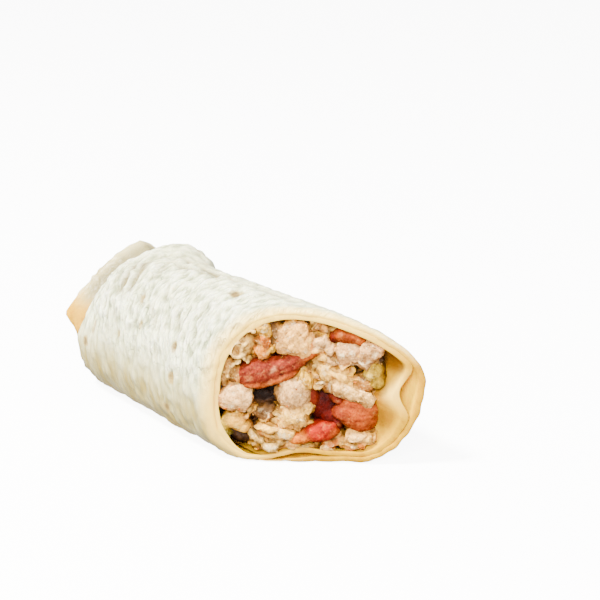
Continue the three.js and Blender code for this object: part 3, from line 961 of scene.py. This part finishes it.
# Lobes of each chunk on the cut face: tone, across, up, set back, long, high, deep, tilt
CHICKEN = {
    "chicken_dome": [
        ("pale", -6.6, 44.0, -1.2, 12.4, 12.0, 17, 15),
        # Painted shade down the dome's shadowed left side
        ("dome_painted_shade", -10.9, 43.6, -0.5, 5.4, 10.0, 15, 8),
        ("painted_shade_brown", -12.7, 44.8, 0.9, 4.4, 10.0, 13, 8),
        ("tan", -4.6, 48.4, 0.8, 7.0, 3.8, 13, -16),
        ("pale", -3.0, 40.6, -0.2, 6.0, 5.0, 14, 30),
    ],
    "chicken_knuckle": [
        ("pink", 2.4, 43.4, 0.2, 7.2, 6.4, 13, 20),
        ("pink", 4.8, 40.6, 1.0, 5.6, 5.0, 13, -20),
        ("pale", 0.4, 40.2, 0.9, 4.6, 4.2, 13, 0),
    ],
    "chicken_spiced": [
        ("yellow", -16.9, 47.0, 0.6, 6.0, 4.8, 13, 20),
        ("spice", -16.2, 43.2, 0.3, 5.6, 5.4, 14, 60),
        ("turmeric", -17.3, 39.4, 0.2, 5.6, 5.4, 14, 0),
        ("yellow", -13.9, 40.8, 1.0, 3.6, 4.6, 13, 80),
        ("tan", -18.6, 42.4, 0.9, 3.0, 3.6, 13, 0),
    ],
    "chicken_corner": [
        ("pink", -25.9, 22.6, -1.4, 10.6, 9.0, 16, -8),
        ("pink", -24.6, 21.2, -0.8, 6.0, 7.0, 15, 0),
        ("tan", -30.6, 22.6, 1.0, 4.2, 7.0, 13, 5),
    ],
    "chicken_shade": [
        # The recessed chunk and the void behind it, in painted shade
        ("shade", -17.0, 16.8, 2.4, 9.6, 6.6, 9, -24),
        ("painted_shade_brown", -16.6, 22.4, 6.4, 9.0, 6.0, 5, 0),
    ],
    "chicken_column": [
        ("yellow", -2.8, 30.2, 0.0, 6.2, 7.2, 14, 70),
        ("grey", -6.7, 24.4, -1.2, 11.8, 10.0, 17, 70),
        ("grey", -9.8, 26.0, 0.4, 5.0, 5.0, 14, 80),
        ("cream", -6.4, 16.2, -0.8, 9.8, 9.8, 16, 0),
        ("cream", -9.6, 14.2, 0.4, 5.0, 5.0, 14, 30),
        ("cream", -3.4, 19.4, 0.0, 5.0, 7.0, 14, 80),
    ],
    "chicken_curl": [
        ("cream", -14.6, 11.9, -1.2, 8.6, 3.4, 13, -14),
        ("cream", -9.6, 9.6, -0.8, 4.8, 6.6, 14, 70),
        ("beige", -13.6, 6.0, -0.2, 9.6, 2.6, 13, 6),
        ("beige", -19.6, 8.2, -0.2, 7.4, 2.6, 13, -40),
        # Painted shade in the dark middle of the curl
        ("painted_shade_brown", -15.6, 9.6, 3.0, 11.0, 6.0, 9, -20),
    ],
    "chicken_long": [
        ("cream", 3.6, 32.4, -0.2, 8.0, 5.4, 14, -60),
        ("cream", 9.4, 31.0, 0.3, 13.0, 4.2, 14, -27),
        ("white", 13.6, 25.2, -1.2, 17.0, 6.2, 16, -26),
        # Tan lobes set back between the strips, painted shade
        ("tan", 5.2, 27.6, 2.0, 8.0, 5.6, 13, -40),
        ("tan", 16.0, 29.2, 1.8, 9.0, 4.0, 13, -26),
    ],
    "chicken_shoulder": [
        ("ash", 19.0, 40.2, -0.8, 9.2, 7.4, 15, -12),
        ("ash", 11.8, 39.2, 0.0, 8.4, 9.4, 14, 10),
        ("grey", 16.0, 36.2, 0.6, 8.4, 4.4, 13, -10),
    ],
    "chicken_crumb": [
        ("cream", 3.4, 37.2, 0.7, 4.8, 4.2, 13, 0),
        ("grey", 5.6, 36.2, 1.0, 4.6, 4.6, 13, 20),
        ("pale", 10.8, 34.8, 0.8, 3.8, 3.2, 13, 0),
        ("yellow", 5.0, 34.2, 0.9, 3.4, 3.2, 13, 0),
    ],
    "chicken_cream": [
        ("white", 14.4, 9.2, 0.2, 7.0, 5.2, 14, 0),
        ("cream", 17.9, 8.0, 0.6, 4.8, 4.2, 13, 0),
        ("amber", 16.2, 5.9, 1.4, 4.0, 2.4, 12, 10),
    ],
}
# Width and depth of lumps and knobs, length, width and depth of strands, all in millimetres
CHICKEN_FLESH = {
    "warp": 1.5,
    "jag": 0.7,
    "lump": (3.4, 0.7),
    "knob": (2.1, 0.36),
    "strand": (5.0, 0.9, 0.26),
    "streak": 0.35,
}


def lobe_matrix(across, up, back, long, high, deep, tilt):
    turn = Matrix.Rotation(math.radians(-tilt), 4, "Y")
    size = Matrix.Diagonal((long / 2, deep / 2, high / 2, 1))
    return Matrix.Translation((across, back + deep / 2, up)) @ turn @ size


WALL_ROOM = 4.2
wall_y, wall_z = outline(np.linspace(0, TURN, 361))
wall_turn = np.degrees(np.arctan2(wall_z - MIDDLE_Z, wall_y - MIDDLE_Y)) % TURN
wall_reach = np.hypot(wall_z - MIDDLE_Z, wall_y - MIDDLE_Y)
wall_order = np.argsort(wall_turn)


def wall_at(y, z):
    """Distance from the middle of the roll to its outside, on the way to y and z."""
    turn = np.degrees(np.arctan2(z, y)) % TURN
    return np.interp(turn, wall_turn[wall_order], wall_reach[wall_order], period=TURN)


def pressed_inside(points):
    """Points of the roll, in millimetres, pressed back inside the bread's wall."""
    size = 1 - TAPER * (1 - np.minimum(points[:, 0] / cut_x(points[:, 1]), 1))
    y = points[:, 1] - MIDDLE_Y
    z = points[:, 2] - MIDDLE_Z * size
    room = wall_at(y, z) * size - WALL_ROOM
    kept = np.minimum(room / np.maximum(np.hypot(y, z), 0.01), 1)
    return np.stack([points[:, 0], MIDDLE_Y + y * kept, MIDDLE_Z * size + z * kept], -1)


def carried(matrix, points):
    """Points moved by a matrix."""
    numbers = np.array(matrix)
    return points @ numbers[:3, :3].T + numbers[:3, 3]


def build_piece(name, lobes, flesh, slot, material, seed, roundness=4, voxel=PIECE_VOXEL):
    """A lumpy chunk made of lobes, trimmed by the knife, coloured lobe by lobe."""
    bm = bmesh.new()
    shapes = [lobe_matrix(*lobe[1:]) for lobe in lobes]
    to_frame = Matrix.Scale(MM, 4) @ CUT_FRAME
    for shape in shapes:
        ball = bmesh.ops.create_icosphere(bm, subdivisions=roundness, radius=1)["verts"]
        for vertex in ball:
            reach = sum(abs(c) ** LOBE_SQUARENESS for c in vertex.co) ** (1 / LOBE_SQUARENESS)
            vertex.co = to_frame @ shape @ (vertex.co * LOBE_SWELL / reach)
    mesh = voxel_skin(name, bm, voxel, PIECE_SMOOTHING)
    to_cut = to_frame.inverted()
    places, normals = points_of(mesh)
    local = carried(to_cut, places)
    facing = normals @ np.array(to_cut.to_3x3().normalized()).T

    tints = np.zeros((len(local), 3))
    weights = np.full((len(local), 1), 1e-9)
    for lobe, shape in zip(lobes, shapes):
        nearness = np.exp(-LOBE_FADE * (carried(shape.inverted(), local) ** 2).sum(1))[:, None]
        tints += nearness * np.array(TONES[lobe[0]])
        weights += nearness
    tints /= weights

    shifted = local + seed * SEED_STEP
    lump_wide, lump_depth = flesh["lump"]
    knob_wide, knob_depth = flesh["knob"]
    strand_long, strand_wide, strand_depth = flesh["strand"]
    warp = np.array([noise.noise_vector(point) for point in shifted / WARP_WIDE]) * (1, 0, 1)
    jag = np.array([noise.noise_vector(point) for point in shifted / JAG_WIDE]) * (1, 0.5, 1)
    lump = np.array([noise.noise(point) for point in shifted / lump_wide])
    knob = np.array([0.55 - noise.turbulence(point, 3, True) for point in shifted / knob_wide])
    tilt = math.radians(lobes[0][7] + STRAND_LEAN)
    strand_place = np.stack([
        (shifted[:, 0] * math.cos(tilt) + shifted[:, 2] * math.sin(tilt)) / strand_long,
        shifted[:, 1] / 2,
        (shifted[:, 2] * math.cos(tilt) - shifted[:, 0] * math.sin(tilt)) / strand_wide,
    ], -1)
    strand = np.array([noise.noise(point) for point in strand_place])

    moved = local + flesh["warp"] * warp + flesh["jag"] * jag
    moved += facing * (lump_depth * lump + knob_depth * knob)[:, None]
    proud = np.minimum(moved[:, 1] - KNIFE_PLANE, 0)
    moved[:, 1] -= (1 - KNIFE_KEPT) * proud
    moved += facing * (strand_depth * strand)[:, None]
    moved[:, 1] = np.minimum(moved[:, 1], BACK_LIMIT)
    places = carried(to_frame, moved)
    places = (pressed_inside(places / MM + ORIGIN) - ORIGIN) * MM
    mesh.vertices.foreach_set("co", places.ravel())

    depth = moved[:, 1]
    tints *= 1 + flesh["streak"] * strand[:, None]
    # Painted shade on surfaces that face down
    tints *= lerp(1, UNDERSIDE, smooth(-facing[:, 2], 0.05, 0.9)[:, None])
    # Golden grilled sides, then browner and darker further behind the cut, partly painted shade
    tints *= lerp(1, GOLDEN_SIDE, smooth(depth, GOLDEN_FROM, GOLDEN_TO)[:, None])
    tints *= lerp(1, BROWN_SIDE, smooth(depth, GOLDEN_TO, BROWN_TO)[:, None])
    colours = np.concatenate([np.clip(tints, 0, 1), np.ones((len(tints), 1))], 1)
    layer = mesh.attributes.new("tint", "FLOAT_COLOR", "POINT")
    layer.data.foreach_set("color", colours.ravel())
    # Painted shade in the hollows between the lumps, knobs and strands
    add_amounts(mesh, {
        "hollow": np.clip(0.35 - 0.8 * knob - 0.3 * lump - 0.35 * strand, 0, 1),
        "sauced": 1 - smooth(depth, SAUCE_FROM, SAUCE_FROM + SAUCE_OVER),
    })
    if slot == "chicken":
        seen = (facing[:, 1] < CRUMB_FACING) & (depth < CRUMB_DEPTH)
        fronts.extend(zip(places[seen], normals[seen]))
    mesh.shade_smooth()
    piece = add_object(name + "_piece", mesh)
    mesh.materials.append(material)
    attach(piece, "root")
    return piece


def sauced_food_group():
    """Food tinted lobe by lobe and mottled, with painted shade in its hollows and a veil of sauce and
    fat on top that carries painted glints.
    """
    group = bpy.data.node_groups.new("sauced_food", "ShaderNodeTree")
    for way, kind, labels in (
        ("INPUT", "NodeSocketColor", ("Tint", "Hollow Tone", "Veil Tone")),
        ("INPUT", "NodeSocketFloat", ("Hollow", "Sauced", "Veil Amount", "Mottle")),
        ("OUTPUT", "NodeSocketColor", ("Colour",)),
        ("OUTPUT", "NodeSocketFloat", ("Height", "Wetness")),
    ):
        for label in labels:
            group.interface.new_socket(label, in_out=way, socket_type=kind)
    given = add_node(group, "NodeGroupInput").outputs
    result = add_node(group, "NodeGroupOutput")
    spot = add_node(group, "ShaderNodeTexCoord").outputs["Object"]
    blotch = grain(group, spot, 420, 3, 0.65)
    fleck = grain(group, spot, 1300, 3, 0.65)
    patch = grain(group, spot, 260, 4, 0.72)
    mottled = arithmetic(group, "MULTIPLY", ramp(group, blotch, 0.38, 0.66), given["Mottle"])
    body = mix_colour(group, mottled, given["Tint"], given["Hollow Tone"], "MULTIPLY")
    # Painted shade in the hollows
    sunk = ramp(group, given["Hollow"], 0.3, 0.95, 0, 0.9)
    body = mix_colour(group, sunk, body, given["Hollow Tone"], "MULTIPLY")
    flecked = ramp(group, fleck, 0.50, 0.32, 0, 0.6)
    body = mix_colour(group, flecked, body, given["Hollow Tone"], "MULTIPLY")
    # Painted glints: fine light specks on the wet surface, shown through the veil
    specks = ramp(group, fleck, 0.58, 0.70, 0, 0.8)
    veil = arithmetic(group, "MAXIMUM", ramp(group, patch, 0.54, 0.68), specks)
    veil = arithmetic(group, "MULTIPLY", veil, given["Veil Amount"])
    veil = arithmetic(group, "MULTIPLY", veil, given["Sauced"])
    feed(result, {
        "Colour": mix_colour(group, veil, body, given["Veil Tone"]),
        "Height": arithmetic(group, "ADD", blotch, fleck),
        "Wetness": ramp(group, patch, 0.4, 0.65, 0.62, 0.34),
    })
    return group


sauced_food = sauced_food_group()
FOOD_GLOSS = 0.14
GRIT_STRENGTH = 0.9
GRIT_DEPTH = 0.5 * MM
GLOW_DEPTH = 0.9 * MM


# The hollow tone serves for random mottling and for painted shade in the hollows
def food_material(name, hollow_tone, veil_tone, veil, mottle, glow, glow_reach, gloss=FOOD_GLOSS):
    """Soft moist food, each kind with its own tones, veil of sauce and glow from inside."""
    material, tree, shader = new_material(name)
    food = add_node(tree, "ShaderNodeGroup", node_tree=sauced_food)
    tint = add_node(tree, "ShaderNodeAttribute", attribute_name="tint")
    feed(food, {
        "Tint": tint.outputs["Color"],
        "Hollow": amount(tree, "hollow"),
        "Sauced": amount(tree, "sauced"),
        "Hollow Tone": hollow_tone,
        "Veil Tone": veil_tone,
        "Veil Amount": veil,
        "Mottle": mottle,
    })
    grit = add_node(tree, "ShaderNodeBump")
    feed(grit, {"Strength": GRIT_STRENGTH, "Distance": GRIT_DEPTH, "Height": food.outputs["Height"]})
    feed(shader, {
        "Base Color": food.outputs["Colour"],
        "Roughness": food.outputs["Wetness"],
        "Normal": grit.outputs["Normal"],
        "Specular IOR Level": gloss,
        "Subsurface Weight": glow,
        "Subsurface Radius": glow_reach,
        "Subsurface Scale": GLOW_DEPTH,
    })
    return material


chicken_paint = food_material(
    "chicken",
    hollow_tone=(0.30, 0.255, 0.15, 1),
    veil_tone=(0.98, 0.78, 0.43, 1),
    veil=0.65,
    mottle=0.6,
    glow=0.08,
    glow_reach=(1.0, 0.75, 0.55),
)
for seed, (name, lobes) in enumerate(CHICKEN.items(), start=1):
    chunk = build_piece(name, lobes, CHICKEN_FLESH, "chicken", chicken_paint, seed)
    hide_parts(name)

# Tomato
# Wedges and slices of ripe tomato with wet pulp at the cut and a thin skin along one edge,
# streaked with pale sauce. They lie between the chunks of chicken.
TOMATO = {
    "tomato_wedge": [
        ("brick", -17.8, 31.8, -0.4, 17.6, 9.4, 15, 12),
        ("brick", -9.4, 34.5, -0.2, 17.0, 6.8, 15, 24),
        ("orange", -2.2, 37.6, 0.6, 9.6, 3.0, 13, 26),
        ("orange", -12.0, 30.0, -0.5, 17.0, 3.0, 13, 24),
        ("orange", -19.4, 27.8, -0.3, 9.6, 2.6, 13, 4),
        ("veil", -14.2, 33.2, -0.8, 5.4, 1.8, 3, 32),
        ("veil", -18.4, 32.6, -0.7, 3.4, 1.4, 3, 10),
        ("veil", -10.6, 34.8, -0.5, 3.2, 1.0, 3, 26),
        ("veil", -21.6, 30.2, -0.3, 2.4, 1.8, 3, 40),
    ],
    "tomato_slice_top": [
        ("rust", 11.0, 45.2, 0.4, 11.0, 5.2, 13, -14),
        ("orange", 14.6, 44.2, 0.8, 6.0, 4.0, 13, -24),
        ("crimson", 6.2, 45.0, 1.6, 4.0, 4.6, 12, 0),
    ],
    "tomato_deep": [
        ("crimson", 3.0, 19.2, 3.6, 9.0, 11.0, 9, 30),
        ("crimson", 5.6, 15.6, 2.6, 6.0, 6.0, 9, 0),
        ("brick", -0.4, 22.6, 2.6, 4.4, 7.6, 9, 0),
        ("brick", 8.4, 22.0, 2.2, 8.0, 3.6, 9, -28),
        ("crimson", 8.0, 13.2, 2.4, 4.4, 5.0, 9, 0),
    ],
    "tomato_slice_right": [
        ("salmon", 14.6, 17.2, 0.2, 14.4, 11.4, 14, -28),
        ("orange", 19.2, 18.4, 0.6, 5.4, 8.4, 13, -20),
        ("brick", 10.2, 17.2, 0.6, 6.0, 8.0, 13, 60),
    ],
    "tomato_slice_base": [
        ("flame", 2.4, 10.8, -0.4, 12.4, 7.2, 15, 14),
        ("amber", -4.6, 8.6, -0.2, 8.0, 5.0, 13, 10),
        ("orange", 6.6, 11.0, 0.5, 4.6, 3.4, 13, 20),
    ],
}
TOMATO_FLESH = {
    "warp": 0.45,
    "jag": 0.25,
    "lump": (4.6, 0.2),
    "knob": (2.4, 0.10),
    "strand": (3.5, 1.0, 0.08),
    "streak": 0.5,
}
tomato_paint = food_material(
    "tomato",
    hollow_tone=(0.42, 0.18, 0.08, 1),
    veil_tone=(0.80, 0.30, 0.07, 1),
    veil=0.26,
    mottle=0.55,
    glow=0.06,
    glow_reach=(1.0, 0.4, 0.2),
    gloss=0.08,
)
for seed, (name, lobes) in enumerate(TOMATO.items(), start=21):
    wedge = build_piece(name, lobes, TOMATO_FLESH, "tomato", tomato_paint, seed)
    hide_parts(name)

# Cucumber
# Pale pickled cucumber, soft and see-through at the edges, cut into short pieces. One of
# them keeps a strip of green rind. They are tucked in along the bread's wall.
SOFT_FLESH = {
    "warp": 0.6,
    "jag": 0.3,
    "lump": (4.6, 0.4),
    "knob": (2.4, 0.22),
    "strand": (3.5, 1.0, 0.20),
    "streak": 0.5,
}
CUCUMBER = {
    "cucumber_slice": [
        ("lime", 20.0, 32.6, 0.4, 6.6, 5.8, 13, 60),
        ("lime", 21.4, 29.2, 0.6, 5.6, 5.2, 13, 60),
    ],
    "cucumber_rind": [
        ("pickle", -26.4, 14.6, -0.4, 7.6, 6.2, 14, -22),
        ("pickle", -24.0, 12.6, 0.2, 4.8, 4.2, 13, 0),
        ("lime", -30.2, 13.4, 0.5, 4.4, 6.4, 13, -35),
        ("moss", -30.4, 11.2, 1.0, 6.4, 2.4, 13, -42),
    ],
}
cucumber_paint = food_material(
    "cucumber",
    hollow_tone=(0.45, 0.38, 0.15, 1),
    veil_tone=(0.90, 0.68, 0.22, 1),
    veil=0.5,
    mottle=0.5,
    glow=0.3,
    glow_reach=(0.9, 0.8, 0.4),
)
for seed, (name, lobes) in enumerate(CUCUMBER.items(), start=31):
    pickle = build_piece(name, lobes, SOFT_FLESH, "cucumber", cucumber_paint, seed)
    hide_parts(name)

# Onion
# Soft cooked onion, sliced across: thin curved layers, beige and see-through, that cling
# together and stick to the bread's wall.
ONION_MASS = {
    "onion_upper": [("beige", -24.0, 41.4, 1.5, 9.4, 8.6, 12, 50)],
    "onion_lower": [
        ("olive", -28.2, 32.6, 0.8, 5.4, 9.6, 12, 12),
        ("tan", -25.4, 30.6, 1.4, 5.0, 8.0, 12, 24),
        ("olive", -30.6, 29.0, 1.2, 3.4, 6.0, 12, 0),
    ],
}
# Layers: across, up, radius, first and last angle
ONION_LAYERS = {
    "onion_upper": [
        (-25.4, 40.4, 2.7, 40, 330),
        (-22.4, 44.2, 3.4, 60, 190),
        (-20.6, 39.6, 3.6, 120, 260),
    ],
    "onion_lower": [(-24.2, 31.4, 4.6, 110, 190)],
}
LAYER_STEP = 25
LAYER_BACK = 0.2
LAYER_LONG = 2.2
LAYER_HIGH = 1.3
LAYER_DEEP = 12
onion_paint = food_material(
    "onion",
    hollow_tone=(0.38, 0.24, 0.10, 1),
    veil_tone=(0.92, 0.66, 0.26, 1),
    veil=0.5,
    mottle=0.5,
    glow=0.3,
    glow_reach=(1.0, 0.75, 0.45),
)
for seed, (name, lobes) in enumerate(ONION_MASS.items(), start=41):
    layers = []
    for across, up, radius, first, last in ONION_LAYERS[name]:
        for turn in range(first, last, LAYER_STEP):
            bend = math.radians(turn)
            lobe_across = across + radius * math.cos(bend)
            lobe_up = up + radius * math.sin(bend)
            sizes = (LAYER_BACK, LAYER_LONG, LAYER_HIGH, LAYER_DEEP)
            layers.append(("pearl", lobe_across, lobe_up, *sizes, turn + 90))
    onion = build_piece(name, lobes + layers, SOFT_FLESH, "onion", onion_paint, seed)
    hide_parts(name)

# Shreds
# Torn shreds of chicken, spice and soft onion pressed into the gaps between the chunks, a
# little behind the knife's cut. The near-black ones are painted shade where the gaps go deep.
SHREDS = 400
FRONT_SHREDS = 110
SHRED_DEEP = 5.0
SHRED_VOXEL = 0.42 * MM
SHRED_TONES = ["cream", "yellow", "tan", "tan", "pale", "olive", "beige", "olive", "olive"]
# Near-black shreds, painted shade deep in the gaps
SHRED_TONES += ["painted_shade_brown", "painted_shade_brown"]
FRONT_TONES = ["cream", "beige", "pale", "tan", "beige", "yellow"]
# Least and most that a shred is set back, long and high, in the gaps and at the front
SHRED_SIZES = ((2.0, 5.0), (3.0, 8.0), (1.1, 2.2))
FRONT_SIZES = ((0.5, 1.7), (2.0, 5.0), (0.9, 1.7))
SHRED_ROOM = 4.4
POCKET_FROM = 22.0
SHREDS_FROM = -40
SHREDS_UP = (4, 54)
# Hollows left dark between the chunks: across, up, half width, half height
HOLLOWS = [
    (-17.4, 23.4, 7.0, 5.0),
    (-25.6, 9.6, 4.6, 2.6),
    (3.4, 19.4, 6.0, 7.6),
    (-8.2, 39.0, 2.6, 1.2),
    (8.8, 33.2, 2.0, 1.5),
    (8.2, 37.4, 1.6, 1.3),
    (-12.6, 44.6, 1.6, 4.2),
]
# Pieces that no shred covers, in the same order
CLEAR_PIECES = [
    (-17.4, 32.0, 9.4, 5.6),
    (-7.0, 35.4, 8.4, 4.2),
    (14.6, 17.2, 8.4, 6.8),
    (1.0, 10.6, 9.0, 4.8),
    (11.6, 45.0, 6.8, 3.4),
    (-6.4, 44.0, 6.6, 6.4),
    (18.0, 39.6, 6.0, 4.8),
    (21.0, 31.0, 4.0, 4.6),
    (-16.4, 42.6, 4.2, 6.4),
    (-24.6, 41.4, 5.0, 5.8),
    (-28.4, 31.4, 3.6, 6.0),
    (13.6, 25.6, 7.6, 3.2),
]
shred_draw = random.Random(53)
shreds = [
    # Near-black shreds as painted shade where the gaps go deepest
    ("painted_shade_brown", -25.8, 8.8, 3.2, 9.0, 5.4, 8, -24),
    ("painted_shade_brown", -19.0, 6.4, 3.6, 8.0, 3.6, 8, 0),
    ("painted_shade_brown", -31.8, 26.6, 2.6, 3.0, 5.0, 8, 0),
    ("tan", -31.6, 34.0, 2.2, 4.0, 8.0, 8, 0),
    ("amber", 6.4, 6.4, 1.2, 6.0, 2.6, 8, 8),
    ("cream", 10.2, 6.6, 1.2, 5.0, 2.4, 8, 0),
]
while len(shreds) < SHREDS + FRONT_SHREDS:
    is_front = len(shreds) >= SHREDS
    across = shred_draw.uniform(SHREDS_FROM, POCKET_FROM)
    up = shred_draw.uniform(*SHREDS_UP)
    off_y = across * math.cos(CUT_SKEW) - MIDDLE_Y
    off_z = up - MIDDLE_Z
    kept_clear = HOLLOWS + CLEAR_PIECES if is_front else HOLLOWS
    in_hollow = any(
        math.hypot((across - clear_across) / half_wide, (up - clear_up) / half_high) < 1
        for clear_across, clear_up, half_wide, half_high in kept_clear
    )
    if math.hypot(off_y, off_z) > wall_at(off_y, off_z) - SHRED_ROOM or in_hollow:
        continue
    shreds.append((
        shred_draw.choice(FRONT_TONES if is_front else SHRED_TONES),
        across,
        up,
        *(shred_draw.uniform(*sizes) for sizes in (FRONT_SIZES if is_front else SHRED_SIZES)),
        SHRED_DEEP,
        shred_draw.uniform(-90, 90),
    ))
build_piece(
    "shreds", shreds, CHICKEN_FLESH, "chicken", chicken_paint, 51, roundness=2, voxel=SHRED_VOXEL
)

# Crumbs
# Crumbs of chicken and spice that the knife left on the cut chunks. They are moist and
# stick where they fell.
CRUMBS = 170
CRUMB_SIZES = (0.12, 0.42)
CRUMB_TONES = ["cream", "cream", "white", "yellow", "spice", "tan", "pale", "amber"]
CRUMB_LONG = (0.8, 1.8)
CRUMB_HIGH = 0.8
CRUMB_LIFT = 0.3
CRUMB_DENT = 0.45
crumb_draw = random.Random(77)
bm = bmesh.new()
crumb_colours = []
for place, facing in crumb_draw.sample(fronts, CRUMBS):
    size = crumb_draw.uniform(*CRUMB_SIZES)
    spot = Vector(place)
    turn = crumb_draw.uniform(0, 6)
    axle = Vector((crumb_draw.random(), 0.5, 1))
    long = size * MM * crumb_draw.uniform(*CRUMB_LONG)
    shape = Matrix.Translation(spot + Vector(facing) * size * CRUMB_LIFT * MM)
    shape = shape @ Matrix.Rotation(turn, 4, axle)
    shape = shape @ Matrix.Diagonal((long, size * MM, size * MM * CRUMB_HIGH, 1))
    ball = bmesh.ops.create_icosphere(bm, subdivisions=2, radius=1)["verts"]
    tone = TONES[crumb_draw.choice(CRUMB_TONES)]
    for vertex in ball:
        dent = 1 + CRUMB_DENT * noise.noise(vertex.co * 1.6 + spot * 900)
        vertex.co = shape @ (vertex.co * dent)
        crumb_colours.extend((*tone, 1.0))
crumb_mesh = mesh_of("crumbs", bm)
layer = crumb_mesh.attributes.new("tint", "FLOAT_COLOR", "POINT")
layer.data.foreach_set("color", crumb_colours)
crumb_mesh.attributes.new("hollow", "FLOAT", "POINT")
crumb_mesh.attributes.new("sauced", "FLOAT", "POINT")
crumb_mesh.shade_smooth()
crumb_mesh.materials.append(chicken_paint)
crumbs = add_object("crumbs", crumb_mesh)
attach(crumbs, "root")
